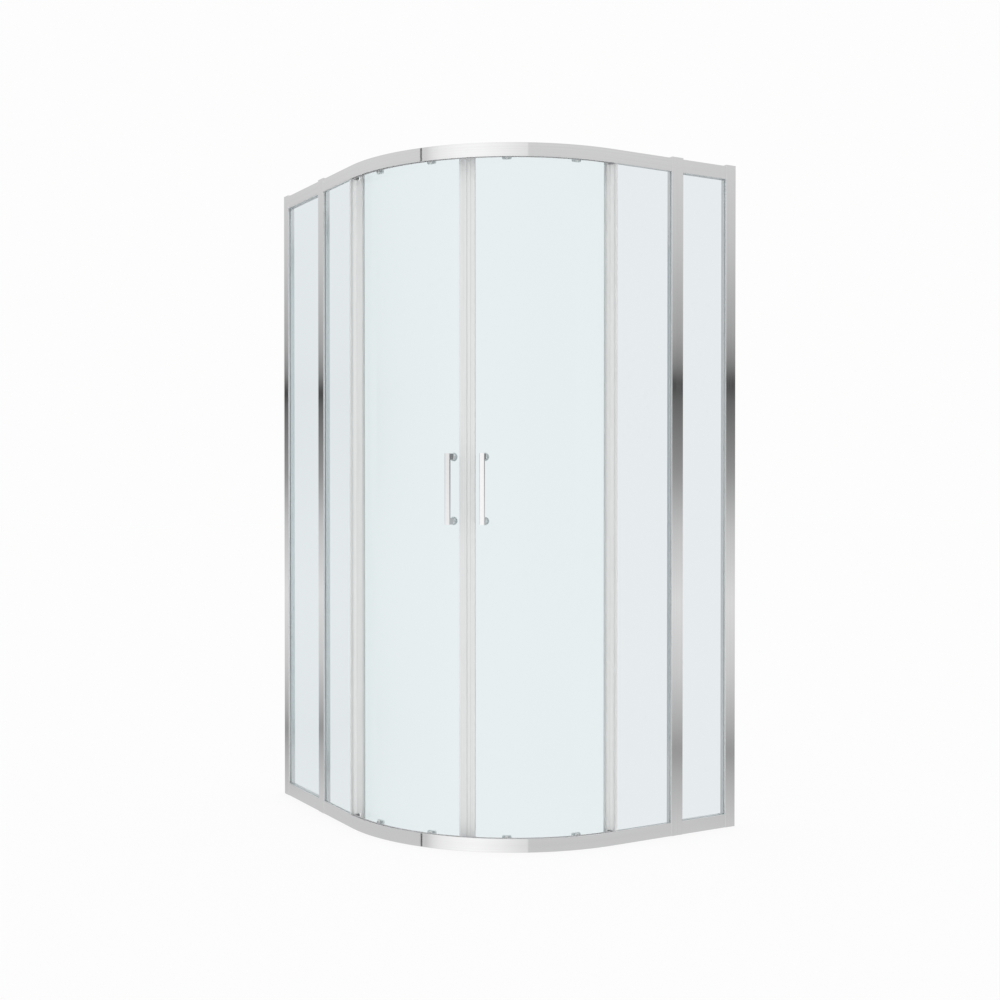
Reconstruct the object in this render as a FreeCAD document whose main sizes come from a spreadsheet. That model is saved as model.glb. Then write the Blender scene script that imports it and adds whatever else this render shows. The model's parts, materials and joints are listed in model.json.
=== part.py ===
import FreeCAD, Part
import os
import Sketcher

doc = FreeCAD.newDocument("shower_enclosure")
sheet = doc.addObject("Spreadsheet::Sheet", "Sizes")

# Driving sizes: name, value in mm (angles in degrees), meaning
SIZES = [
    ("frame_height", 1946, "top face of the rails above the floor"),
    ("corner_radius", 550, "outer radius of the curved rails"),
    ("quadrant_side", 795, "corner of the rail planes to the far side of a joining post"),
    ("extension_right", 195, "joining post to the right wall"),
    ("extension_left", 286, "joining post to the back wall"),
    ("post_width", 40, "face of a joining post"),
    ("end_width", 37, "face of an end post with its wall gap"),
    ("post_depth", 23, "front to back of a post"),
    ("post_proud", 1, "post face in front of the rail faces"),
    ("post_rise", 1, "post end above the rails"),
    ("post_wall", 1.6, "wall of the post extrusions"),
    ("post_edge", 1.2, "rounded front edges of a post"),
    ("groove_depth", 14, "glazing groove in a post"),
    ("cap_thickness", 3, "post cap plate"),
    ("cap_edge", 1, "rounded top edges of a post cap"),
    ("cap_plug", 8, "plug of a post cap inside its post"),
    ("rail_height", 38, "face of every rail"),
    ("rail_wall", 2, "wall of the rail extrusions"),
    ("rail_edge", 0.8, "rounded face edges of every rail"),
    ("rail_depth", 56, "front to back of the curved tracks"),
    ("lip_drop", 4, "inner lip of the tracks under the plate"),
    ("lip_wall", 1.5, "wall of the inner lip and of the toe"),
    ("glazing_width", 9, "glazing channel in rails and posts"),
    ("ledge_drop", 22, "wheel ledge from the outer face of the plate"),
    ("ledge_end", 33, "inner end of the wheel ledge from the rail face"),
    ("toe_height", 3, "toe at the end of the wheel ledge"),
    ("glass_thickness", 5, "all panes"),
    ("glass_insert", 12, "fixed panes inside the post grooves"),
    ("pane_inset", 10, "fixed pane edge from the outer face of a rail"),
    ("pane_free_edge", 10, "free edge of a fixed pane past the tangent point"),
    ("gasket_rim", 1.5, "gasket around a pane edge"),
    ("gasket_show", 0.5, "gasket beyond the metal edge"),
    ("seat", 0.1, "clearance of pieces that sit in a groove"),
    ("butt", 0.2, "joint gap where a rail meets a post"),
    ("door_inset", 40, "outer face of the door glass from the rail face"),
    ("door_edge", 17.5, "door glass edge from the outer face of a rail"),
    ("door_lead_angle", 1.3, "leading glass edge from the middle of the curve"),
    ("door_span_angle", 44.1, "angle of the door glass"),
    ("roller_lead_angle", 12.5, "leading roller from the middle of the curve"),
    ("roller_trail_angle", 35, "trailing roller from the middle of the curve"),
    ("wheel_radius", 9, "roller wheel"),
    ("wheel_width", 6, "roller wheel"),
    ("wheel_inset", 19, "outer face of a wheel from the rail face"),
    ("wheel_edge", 0.6, "bevel of a wheel edge"),
    ("wheel_ring", 2.2, "rim and hub of a wheel, across"),
    ("wheel_dish", 1.2, "dished face of a wheel between rim and hub"),
    ("running_gap", 0.3, "wheel to its ledge"),
    ("axle_radius", 3, "journal of an axle"),
    ("axle_clearance", 0.05, "radial play of a wheel on its axle"),
    ("axle_head_radius", 4.6, "riveted head of an axle"),
    ("axle_head", 1.2, "riveted head of an axle"),
    ("shank_radius", 4, "axle between wheel and carrier"),
    ("carrier_width", 26, "roller carrier"),
    ("carrier_depth", 6.7, "roller carrier"),
    ("carrier_start", 6.7, "near end of a carrier from the outer face of a rail"),
    ("carrier_end", 36, "far end of a carrier from the outer face of a rail"),
    ("carrier_seat", 0.3, "carrier to the curved glass"),
    ("carrier_edge", 4, "rounded corners of a carrier"),
    ("clamp_drop", 30.5, "clamp screw from the outer face of a rail"),
    ("clamp_radius", 2.5, "clamp screw shank"),
    ("clamp_hole", 3, "radius of the glass hole for a clamp screw"),
    ("clamp_head_radius", 5.5, "clamp screw head"),
    ("clamp_head", 5, "clamp screw head"),
    ("handle_angle", 5.3, "handle from the middle of the curve"),
    ("handle_height", 998.5, "middle of a handle above the floor"),
    ("handle_length", 198, "handle bar"),
    ("handle_width", 14.5, "handle bar across"),
    ("handle_bar", 9, "handle bar front to back"),
    ("handle_reach", 31, "front of the bar from the glass"),
    ("handle_leg", 19, "height of a handle leg"),
    ("handle_edge", 1.5, "rounded edges of a handle"),
    ("handle_washer", 0.8, "washer between handle and glass"),
    ("handle_bolt", 2.5, "radius of a handle bolt"),
    ("handle_hole", 3.5, "radius of the glass hole for a handle bolt"),
    ("handle_bolt_grip", 12, "length of a handle bolt inside its leg"),
    ("handle_cap_radius", 9, "inside cap of a handle bolt"),
    ("handle_cap", 14, "inside cap of a handle bolt"),
    ("seal_wall", 1.2, "wall of the clip-on seals"),
    ("seal_grip", 7, "legs of a fixed seal on the glass"),
    ("edge_grip", 4, "legs of a trailing door seal on the glass"),
    ("magnet_grip", 11, "legs of a magnetic seal on the glass"),
    ("seal_gap", 0.2, "clip-on seal to the glass"),
    ("fin_gap", 1.5, "fixed seal fin to door seal fin"),
    ("fin_clear", 0.5, "seal fins to the draught blocks"),
    ("fin_split", 19, "inner end of the fixed seal fin from the rail face"),
    ("fin_run", 8, "slant of a seal fin along the panel"),
    ("meeting_gap", 0.5, "between the two magnetic seals"),
    ("magnet_depth", 10, "front to back of a magnetic seal chamber"),
    ("magnet_play", 0.4, "magnet strip inside its chamber"),
    ("block_drop", 0.5, "draught block beyond the rail edge"),
    ("block_width", 12, "draught block along the rail"),
    ("block_depth", 14, "draught block front to back"),
    ("stop_place", 69, "end stop from the joining post"),
    ("stop_length", 16, "end stop"),
    ("stop_width", 13, "end stop across its lane"),
    ("stop_height", 14, "end stop"),
    ("bracket_width", 6, "rail bracket"),
    ("bracket_leg", 17, "each leg of a rail bracket"),
    ("bracket_wall", 2, "rail bracket"),
    ("bracket_inset", 16.5, "middle of a bracket from the rail face"),
    ("bracket_hole_place", 11, "bracket screw from the corner of its bracket"),
    ("screw_radius", 1.5, "shank of the frame screws"),
    ("screw_play", 0.1, "radial play of the frame screws"),
    ("screw_head_radius", 2.8, "head of the frame screws"),
    ("screw_head", 2, "head of the frame screws"),
    ("screw_length", 3.5, "shank of the frame screws"),
    ("channel_base", 2, "base of a wall channel"),
    ("channel_flange", 21, "depth of a wall channel"),
    ("channel_play", 0.3, "wall channel inside its post"),
    ("channel_short", 14, "wall channel under the top of its post"),
    ("wall_gap", 1, "end post to the wall"),
    ("wall_hole", 3, "radius of a wall screw hole"),
    ("wall_hole_end", 150, "outer wall screw holes from the floor and from the rail top"),
    ("post_screw_place", 13, "post screws from the wall"),
    ("post_screw_end", 300, "outer post screws from the floor and from the rail top"),
]


class Size:
    """A length or angle with the sheet expression that gives it."""

    def __init__(self, text, value):
        self.text = text
        self.value = value

    def __add__(self, other):
        other = as_size(other)
        return Size(f"({self.text} + {other.text})", self.value + other.value)

    def __sub__(self, other):
        other = as_size(other)
        return Size(f"({self.text} - {other.text})", self.value - other.value)

    def __mul__(self, factor):
        other = as_size(factor)
        return Size(f"({self.text} * {other.text})", self.value * other.value)

    def __neg__(self):
        return self * -1

    def __radd__(self, other):
        return as_size(other) + self

    def __rsub__(self, other):
        return as_size(other) - self

    __rmul__ = __mul__


def as_size(value):
    if isinstance(value, Size):
        return value
    return Size(f"({float(value)})", float(value))


class Sheet:
    """Sizes of the sheet by name."""


S = Sheet()
for row, (alias, value, meaning) in enumerate(SIZES, start=1):
    sheet.set(f"A{row}", meaning)
    sheet.set(f"B{row}", str(value))
    sheet.setAlias(f"B{row}", alias)
doc.recompute()
for alias, value, meaning in SIZES:
    setattr(S, alias, Size(f"Sizes.{alias}", float(sheet.get(alias))))

LEFT, RIGHT = "left", "right"
SIDES = (LEFT, RIGHT)
Z_AXIS = FreeCAD.Vector(0, 0, 1)
exported = []

# Shared positions, measured from the corner where the outer rail planes meet
CORNER_X = S.post_proud - (S.post_proud + S.quadrant_side + S.extension_right) * 0.5
CORNER_Y = S.post_proud - (S.post_proud + S.quadrant_side + S.extension_left) * 0.5
CENTRE_X = CORNER_X + S.corner_radius
CENTRE_Y = CORNER_Y + S.corner_radius
POST_FRONT = -S.post_proud
POST_BACK = S.post_depth - S.post_proud
JOIN_NEAR = S.quadrant_side - S.post_width
JOIN_FAR = S.quadrant_side
POST_TOP = S.frame_height + S.post_rise
CHANNEL_FRONT = S.rail_wall
CHANNEL_BACK = S.rail_wall + S.glazing_width
WEB_BACK = CHANNEL_BACK + S.rail_wall
PANE_FRONT = S.rail_wall + (S.glazing_width - S.glass_thickness) * 0.5
PANE_BACK = PANE_FRONT + S.glass_thickness
DOOR_BACK = S.door_inset + S.glass_thickness
LEDGE_UNDER = S.ledge_drop + S.rail_wall
AXLE_DROP = S.ledge_drop - S.running_gap - S.wheel_radius
EXTENSION = {LEFT: S.extension_left, RIGHT: S.extension_right}


def wall(side):
    """Distance of the wall from the corner of the rail planes."""
    return S.quadrant_side + EXTENSION[side]


def end_near(side):
    """Glass side of an end post."""
    return wall(side) - S.end_width


def flat(side, along, depth):
    """Plan point on a flat panel: distance along it and distance inwards."""
    if side == RIGHT:
        return along, depth
    return depth, along


def export(item, label):
    item.Label = label
    exported.append(item)
    return item


def new_body(name):
    return doc.addObject("PartDesign::Body", name)


def place(item, x=0, y=0, z=0, turn=None):
    """Bind a placement to the sheet, with an optional turn about the vertical."""
    item.Placement = FreeCAD.Placement(FreeCAD.Vector(), FreeCAD.Rotation(Z_AXIS, 1 if turn else 0))
    for axis, value in zip("xyz", (x, y, z)):
        item.setExpression(f"Placement.Base.{axis}", as_size(value).text)
    if turn:
        item.setExpression("Placement.Rotation.Angle", turn.text)
    return item


def at_corner(item, z=0):
    return place(item, CORNER_X, CORNER_Y, z)


def at_centre(item, turn, z=0):
    return place(item, CENTRE_X, CENTRE_Y, z, turn)


def new_sketch(body, plane, shift=0, drop=0):
    """Sketch on an origin plane, moved along its normal and along its own y."""
    sketch = body.newObject("Sketcher::SketchObject", "sketch")
    roles = {feature.Role: feature for feature in body.Origin.OriginFeatures}
    sketch.AttachmentSupport = [(roles[plane + "_Plane"], "")]
    sketch.MapMode = "FlatFace"
    sketch.setExpression("AttachmentOffset.Base.z", as_size(shift).text)
    sketch.setExpression("AttachmentOffset.Base.y", as_size(drop).text)
    return sketch


def bind(sketch, kind, geometry, point, value):
    """Hold one coordinate of a sketch point at a sheet size."""
    value = as_size(value)
    index = sketch.addConstraint(Sketcher.Constraint(kind, -1, 1, geometry, point, value.value))
    sketch.setExpression(f"Constraints[{index}]", value.text)


def polygon(sketch, points):
    """Closed outline with every corner held by its own x and y."""
    points = [(as_size(x), as_size(y)) for x, y in points]
    first = sketch.GeometryCount
    count = len(points)
    corners = [FreeCAD.Vector(x.value, y.value, 0) for x, y in points]
    for i in range(count):
        sketch.addGeometry(Part.LineSegment(corners[i], corners[(i + 1) % count]))
    for i in range(count):
        sketch.addConstraint(Sketcher.Constraint("Coincident", first + i, 2, first + (i + 1) % count, 1))
    for i, (x, y) in enumerate(points):
        bind(sketch, "DistanceX", first + i, 1, x)
        bind(sketch, "DistanceY", first + i, 1, y)


def rectangle(sketch, x0, x1, y0, y1):
    polygon(sketch, [(x0, y0), (x1, y0), (x1, y1), (x0, y1)])


def circle(sketch, x, y, radius):
    x, y = as_size(x), as_size(y)
    middle = FreeCAD.Vector(x.value, y.value, 0)
    index = sketch.addGeometry(Part.Circle(middle, Z_AXIS, radius.value))
    bind(sketch, "DistanceX", index, 3, x)
    bind(sketch, "DistanceY", index, 3, y)
    held = sketch.addConstraint(Sketcher.Constraint("Radius", index, radius.value))
    sketch.setExpression(f"Constraints[{held}]", radius.text)


def pad(body, sketch, length, midplane=False):
    feature = body.newObject("PartDesign::Pad", "pad")
    feature.Profile = sketch
    feature.Midplane = midplane
    feature.setExpression("Length", as_size(length).text)
    return feature


def bore_through(body, sketch):
    feature = body.newObject("PartDesign::Pocket", "bore")
    feature.Profile = sketch
    feature.Type = "ThroughAll"
    feature.Midplane = True
    return feature


def revolve(body, sketch, axis, angle=360):
    feature = body.newObject("PartDesign::Revolution", "turned")
    feature.Profile = sketch
    feature.ReferenceAxis = axis
    feature.setExpression("Angle", as_size(angle).text)
    return feature


def fillet(body, radius, wanted):
    """Round the edges of the tip that the test picks."""
    doc.recompute()
    base = body.Tip
    names = [f"Edge{i}" for i, edge in enumerate(base.Shape.Edges, start=1) if wanted(edge)]
    feature = body.newObject("PartDesign::Fillet", "rounded")
    feature.Base = (base, names)
    feature.setExpression("Radius", radius.text)
    return feature


def copies(label, placed):
    """One sub-part made of placed copies of other bodies."""
    links = []
    for source, put in placed:
        link = doc.addObject("App::Link", "copy")
        link.LinkedObject = source
        put(link)
        links.append(link)
    group = doc.addObject("Part::Compound", label)
    group.Links = links
    return group


def box(name, x0, x1, y0, y1, z0, z1):
    """Part box between six bound planes."""
    item = doc.addObject("Part::Box", name)
    item.setExpression("Length", (as_size(x1) - x0).text)
    item.setExpression("Width", (as_size(y1) - y0).text)
    item.setExpression("Height", (as_size(z1) - z0).text)
    return place(item, CORNER_X + x0, CORNER_Y + y0, z0)


def panel_box(name, side, along, depth, z):
    x, y = flat(side, along, depth)
    return box(name, *x, *y, *z)


def cut(label, base, tool):
    item = doc.addObject("Part::Cut", label)
    item.Base = base
    item.Tool = tool
    return item


def turn_of(side, angle):
    """Turn of a local frame whose x axis points inwards at an angle from the middle of the curve."""
    if side == RIGHT:
        return as_size(45) + angle
    return as_size(45) - angle


def outward(side, value):
    """Distance from the middle of the curve along the local y axis."""
    return as_size(value) if side == LEFT else -as_size(value)


def reach(depth):
    """Local x of a depth behind the rail face, in a frame at the centre of the curve."""
    return as_size(depth) - S.corner_radius


# Posts, caps and wall channels


def round_post_front(body, side):
    """Round the two upright edges of a post's face."""
    axis = 1 if side == RIGHT else 0

    def upright(edge):
        spots = [v.Point for v in edge.Vertexes]
        on_face = all(abs(p[axis] - POST_FRONT.value) < 0.01 for p in spots)
        return on_face and abs(edge.tangentAt(0).z) > 0.9

    fillet(body, S.post_edge, upright)


def joining_post(side):
    body = new_body(f"joining_post_{side}_body")
    a, b = JOIN_NEAR, JOIN_FAR
    w, g = S.post_wall, S.groove_depth
    outline = [
        (a, POST_FRONT), (b, POST_FRONT), (b, CHANNEL_FRONT), (b - g, CHANNEL_FRONT),
        (b - g, CHANNEL_BACK), (b, CHANNEL_BACK), (b, POST_BACK), (a, POST_BACK),
        (a, CHANNEL_BACK), (a + g, CHANNEL_BACK), (a + g, CHANNEL_FRONT), (a, CHANNEL_FRONT),
    ]
    back = CHANNEL_BACK + w
    hollow = [
        (a + g + w, POST_FRONT + w), (b - g - w, POST_FRONT + w), (b - g - w, back), (b - w, back),
        (b - w, POST_BACK - w), (a + w, POST_BACK - w), (a + w, back), (a + g + w, back),
    ]
    sketch = new_sketch(body, "XY")
    polygon(sketch, [flat(side, *point) for point in outline])
    polygon(sketch, [flat(side, *point) for point in hollow])
    pad(body, sketch, POST_TOP)
    round_post_front(body, side)
    at_corner(body)
    tools = bracket_screw_holes(side, [JOIN_NEAR + w * 0.5, JOIN_FAR - w * 0.5])
    export(cut(f"joining_post_{side}_drilled", body, tools), f"joining_post_{side}")


def end_post(side):
    body = new_body(f"end_post_{side}_body")
    a, b = end_near(side), wall(side) - S.wall_gap
    w, g = S.post_wall, S.groove_depth
    back = CHANNEL_BACK + w
    outline = [
        (a, POST_FRONT), (b, POST_FRONT), (b, POST_FRONT + w), (a + g + w, POST_FRONT + w),
        (a + g + w, back), (a + w, back), (a + w, POST_BACK - w), (b, POST_BACK - w), (b, POST_BACK),
        (a, POST_BACK), (a, CHANNEL_BACK), (a + g, CHANNEL_BACK), (a + g, CHANNEL_FRONT), (a, CHANNEL_FRONT),
    ]
    sketch = new_sketch(body, "XY")
    polygon(sketch, [flat(side, *point) for point in outline])
    pad(body, sketch, POST_TOP)
    round_post_front(body, side)
    at_corner(body)
    holes = [bracket_screw_holes(side, [a + w * 0.5]), post_screw_holes(side)]
    tools = doc.addObject("Part::Compound", f"end_post_{side}_tools")
    tools.Links = holes
    export(cut(f"end_post_{side}_drilled", body, tools), f"end_post_{side}")


def post_cap(label, side, near, far, plug_far):
    body = new_body(label)
    plate = new_sketch(body, "XY")
    (x0, y0), (x1, y1) = flat(side, near, POST_FRONT), flat(side, far, POST_BACK)
    rectangle(plate, x0, x1, y0, y1)
    pad(body, plate, S.cap_thickness)
    top = S.cap_thickness.value
    fillet(body, S.cap_edge, lambda edge: all(abs(v.Point.z - top) < 0.01 for v in edge.Vertexes))
    w = S.post_wall + S.seat
    plug = new_sketch(body, "XY", -S.cap_plug)
    (x0, y0), (x1, y1) = flat(side, near + w, CHANNEL_BACK + w), flat(side, plug_far - w, POST_BACK - w)
    rectangle(plug, x0, x1, y0, y1)
    pad(body, plug, S.cap_plug)
    export(at_corner(body, POST_TOP), label)


def wall_channel(side):
    body = new_body(f"wall_channel_{side}_body")
    b = wall(side)
    front = POST_FRONT + S.post_wall + S.channel_play
    back = POST_BACK - S.post_wall - S.channel_play
    tip, base = b - S.channel_flange, b - S.channel_base
    outline = [
        (b, front), (b, back), (tip, back), (tip, back - S.post_wall),
        (base, back - S.post_wall), (base, front + S.post_wall), (tip, front + S.post_wall), (tip, front),
    ]
    sketch = new_sketch(body, "XY")
    polygon(sketch, [flat(side, *point) for point in outline])
    pad(body, sketch, POST_TOP - S.channel_short)
    middle = (front + back) * 0.5
    holes = new_sketch(body, "YZ" if side == RIGHT else "XZ")
    for height in (S.wall_hole_end, S.frame_height * 0.5, S.frame_height - S.wall_hole_end):
        circle(holes, middle, height, S.wall_hole)
    bore_through(body, holes)
    at_corner(body)
    export(cut(f"wall_channel_{side}_drilled", body, post_screw_holes(side)), f"wall_channel_{side}")


# Frame screws: brackets at the rail ends and post screws at the walls


def bracket_spots(side):
    """Corner position along the panel and direction into the rail, for the six rail ends of a side."""
    return [(JOIN_NEAR, -1), (JOIN_FAR, 1), (end_near(side), -1)]


def turned_about(side, direction):
    """Fixed turn that points local x along or against the panel."""
    angle = {(RIGHT, 1): 0, (RIGHT, -1): 180, (LEFT, 1): 90, (LEFT, -1): 270}[side, direction]
    return as_size(angle) if angle else None


def bracket_master(up):
    """Angle bracket against a post, with its other leg on the rail plate."""
    body = new_body("bracket_master")
    w = S.bracket_wall
    plate = -S.rail_wall
    profile = new_sketch(body, "XZ")
    outline = [
        (0, plate), (S.bracket_leg, plate), (S.bracket_leg, plate - w),
        (w, plate - w), (w, plate - S.bracket_leg), (0, plate - S.bracket_leg),
    ]
    polygon(profile, [(x, as_size(z) * up) for x, z in outline])
    pad(body, profile, S.bracket_width, midplane=True)
    flat_leg = new_sketch(body, "XY")
    circle(flat_leg, S.bracket_hole_place, 0, S.screw_radius + S.screw_play)
    bore_through(body, flat_leg)
    post_leg = new_sketch(body, "YZ")
    circle(post_leg, 0, (plate - S.bracket_hole_place) * up, S.screw_radius + S.screw_play)
    bore_through(body, post_leg)
    return body


def screw_profile(body, plane, shift, drop, head_at, direction):
    """Pan-head screw turned about the sketch's own x axis."""
    sketch = new_sketch(body, plane, shift, drop)
    under = as_size(head_at)
    top = under + S.screw_head * direction
    tip = under - S.screw_length * direction
    polygon(sketch, [
        (tip, 0), (top, 0), (top, S.screw_head_radius * 0.6),
        (under + S.screw_head * (0.4 * direction), S.screw_head_radius),
        (under, S.screw_head_radius), (under, S.screw_radius), (tip, S.screw_radius),
    ])
    revolve(body, sketch, (sketch, ["H_Axis"]))


def post_leg_screw(up):
    """Screw through the upright leg of a bracket into the post."""
    body = new_body("post_leg_screw")
    screw_profile(body, "XZ", 0, (-S.rail_wall - S.bracket_hole_place) * up, S.bracket_wall, 1)
    return body


def plate_leg_screw(up):
    """Screw through the flat leg of a bracket into the rail plate."""
    body = new_body("plate_leg_screw")
    sketch = new_sketch(body, "XZ")
    under = (-S.rail_wall - S.bracket_wall) * up
    top = under - S.screw_head * up
    tip = under + S.screw_length * up
    x = S.bracket_hole_place
    outline = [
        (0, tip), (0, top), (S.screw_head_radius * 0.6, top),
        (S.screw_head_radius, under - S.screw_head * (0.4 * up)),
        (S.screw_head_radius, under), (S.screw_radius, under), (S.screw_radius, tip),
    ]
    polygon(sketch, outline)
    revolve(body, sketch, (sketch, ["V_Axis"]))
    shifted = doc.addObject("App::Link", "plate_leg_screw_placed")
    shifted.LinkedObject = body
    place(shifted, x)
    holder = doc.addObject("Part::Compound", "plate_leg_screw_holder")
    holder.Links = [shifted]
    return holder


def hole_rod(length):
    """Rod on the local x axis that drills a screw hole through a thin wall."""
    rod = doc.addObject("Part::Cylinder", "screw_drill")
    rod.setExpression("Radius", (S.screw_radius + S.screw_play).text)
    rod.setExpression("Height", as_size(length).text)
    rod.Placement = FreeCAD.Placement(FreeCAD.Vector(), FreeCAD.Rotation(FreeCAD.Vector(0, 1, 0), 90))
    rod.setExpression("Placement.Base.x", (as_size(length) * -0.5).text)
    centred = doc.addObject("Part::Compound", "screw_drill_centred")
    centred.Links = [rod]
    return centred


def at_bracket(side, along, direction, up):
    """Placing function for the local frame of a rail end."""
    x, y = flat(side, along, S.bracket_inset)
    z = S.frame_height if up > 0 else as_size(0)
    turn = turned_about(side, direction)
    return lambda item: place(item, CORNER_X + x, CORNER_Y + y, z, turn)


def rail_ends():
    """Every rail end: side, position, direction into the rail, top or bottom."""
    for side in SIDES:
        for along, direction in bracket_spots(side):
            for up in (1, -1):
                yield side, along, direction, up


def bracket_screw_holes(side, places):
    """Drills for the bracket screws of one post, at the walls it has."""
    drill = hole_rod(S.post_wall * 2)
    placed = []
    for along in places:
        for up in (1, -1):
            x, y = flat(side, along, S.bracket_inset)
            drop = S.rail_wall + S.bracket_hole_place
            z = S.frame_height - drop if up > 0 else drop
            turn = turned_about(side, 1)
            placed.append((drill, lambda item, x=x, y=y, z=z, turn=turn:
                           place(item, CORNER_X + x, CORNER_Y + y, z, turn)))
    return copies(f"bracket_screw_holes_{side}", placed)


def post_screw_heights():
    return (S.post_screw_end, S.frame_height * 0.5, S.frame_height - S.post_screw_end)


def post_screw_holes(side):
    """Drills through the inner wall of an end post and the channel flange behind it."""
    drill = hole_rod(S.post_wall * 6)
    placed = []
    for height in post_screw_heights():
        x, y = flat(side, wall(side) - S.post_screw_place, POST_BACK)
        turn = turned_about(LEFT if side == RIGHT else RIGHT, 1)
        placed.append((drill, lambda item, x=x, y=y, z=height, turn=turn:
                       place(item, CORNER_X + x, CORNER_Y + y, z, turn)))
    return copies(f"post_screw_holes_{side}", placed)


def post_screws():
    master = new_body("post_screw_master")
    screw_profile(master, "XZ", 0, 0, 0, 1)
    placed = []
    for side in SIDES:
        for height in post_screw_heights():
            x, y = flat(side, wall(side) - S.post_screw_place, POST_BACK)
            turn = turned_about(LEFT if side == RIGHT else RIGHT, 1)
            placed.append((master, lambda item, x=x, y=y, z=height, turn=turn:
                           place(item, CORNER_X + x, CORNER_Y + y, z, turn)))
    export(copies("post_screw_set", placed), "post_screws")


def brackets():
    masters = {up: bracket_master(up) for up in (1, -1)}
    upright = {up: post_leg_screw(up) for up in (1, -1)}
    lying = {up: plate_leg_screw(up) for up in (1, -1)}
    frames = [(up, at_bracket(side, along, direction, up)) for side, along, direction, up in rail_ends()]
    export(copies("bracket_set", [(masters[up], put) for up, put in frames]), "rail_brackets")
    screws = [(upright[up], put) for up, put in frames] + [(lying[up], put) for up, put in frames]
    export(copies("bracket_screw_set", screws), "bracket_screws")


# Rails


def round_rail_face(body, up):
    """Round the two long edges of a rail's outer face, straight or curved."""
    radius = S.corner_radius.value
    heights = (0, -up * S.rail_height.value)

    def behind_face(point):
        nearest = min(point.x, point.y)
        if max(point.x, point.y) < radius:
            nearest = radius - ((point.x - radius) ** 2 + (point.y - radius) ** 2) ** 0.5
        return nearest

    def face_edge(edge):
        middle = edge.valueAt((edge.FirstParameter + edge.LastParameter) * 0.5)
        level = any(all(abs(v.Point.z - z) < 0.01 for v in edge.Vertexes) for z in heights)
        spots = [v.Point for v in edge.Vertexes] + [middle]
        return level and all(abs(behind_face(p)) < 0.01 for p in spots)

    fillet(body, S.rail_edge, face_edge)


def rail_drills(side, up, spots, radius, drop):
    """Upright drills in line with the bracket screws, through the rail wall at a drop from the outer face."""
    drill = doc.addObject("Part::Cylinder", "rail_drill")
    drill.setExpression("Radius", radius.text)
    drill.setExpression("Height", (S.rail_wall * 3).text)
    outer = S.frame_height if up > 0 else as_size(0)
    low = outer - as_size(drop) * up - S.rail_wall * 1.5
    placed = []
    for along, direction in spots:
        x, y = flat(side, along + S.bracket_hole_place * direction, S.bracket_inset)
        placed.append((drill, lambda item, x=x, y=y: place(item, CORNER_X + x, CORNER_Y + y, low)))
    return copies("rail_drills", placed)


def track(label, up):
    """Curved track: one section swept along straight, quarter circle and straight."""
    body = new_body(label + "_body")
    end, radius = JOIN_NEAR - S.butt, S.corner_radius
    path = new_sketch(body, "XY")
    path.addGeometry(Part.LineSegment(point_of(end, 0), point_of(radius, 0)))
    quarter = Part.Circle(point_of(radius, radius), Z_AXIS, radius.value)
    path.addGeometry(Part.ArcOfCircle(quarter, 3.141592653589793, 4.71238898038469))
    path.addGeometry(Part.LineSegment(point_of(0, radius), point_of(0, end)))
    path.addConstraint(Sketcher.Constraint("Coincident", 0, 2, 1, 2))
    path.addConstraint(Sketcher.Constraint("Coincident", 1, 1, 2, 1))
    for geometry, point, x, y in ((0, 1, end, 0), (0, 2, radius, 0), (2, 1, 0, radius), (2, 2, 0, end)):
        bind(path, "DistanceX", geometry, point, x)
        bind(path, "DistanceY", geometry, point, y)
    bind(path, "DistanceX", 1, 3, radius)
    w, h, toe = S.rail_wall, S.rail_height, S.lip_wall
    section = [
        (0, 0), (0, h), (w, h), (w, w), (CHANNEL_BACK, w), (CHANNEL_BACK, h), (WEB_BACK, h),
        (WEB_BACK, LEDGE_UNDER), (S.ledge_end, LEDGE_UNDER), (S.ledge_end, S.ledge_drop - S.toe_height),
        (S.ledge_end - toe, S.ledge_drop - S.toe_height), (S.ledge_end - toe, S.ledge_drop),
        (WEB_BACK, S.ledge_drop), (WEB_BACK, w), (S.rail_depth - toe, w),
        (S.rail_depth - toe, w + S.lip_drop), (S.rail_depth, w + S.lip_drop), (S.rail_depth, 0),
    ]
    profile = new_sketch(body, "YZ", end)
    polygon(profile, [(depth, as_size(drop) * -up) for depth, drop in section])
    swept = body.newObject("PartDesign::AdditivePipe", "swept")
    swept.Profile = profile
    swept.Spine = (path, ["Edge1", "Edge2", "Edge3"])
    round_rail_face(body, up)
    at_corner(body, S.frame_height if up > 0 else 0)
    tools = doc.addObject("Part::Compound", label + "_drills")
    bore = S.screw_radius + S.screw_play
    tools.Links = [rail_drills(side, up, [(JOIN_NEAR, -1)], bore, 0) for side in SIDES]
    export(cut(label + "_drilled", body, tools), label)


def point_of(x, y):
    return FreeCAD.Vector(as_size(x).value, as_size(y).value, 0)


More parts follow.
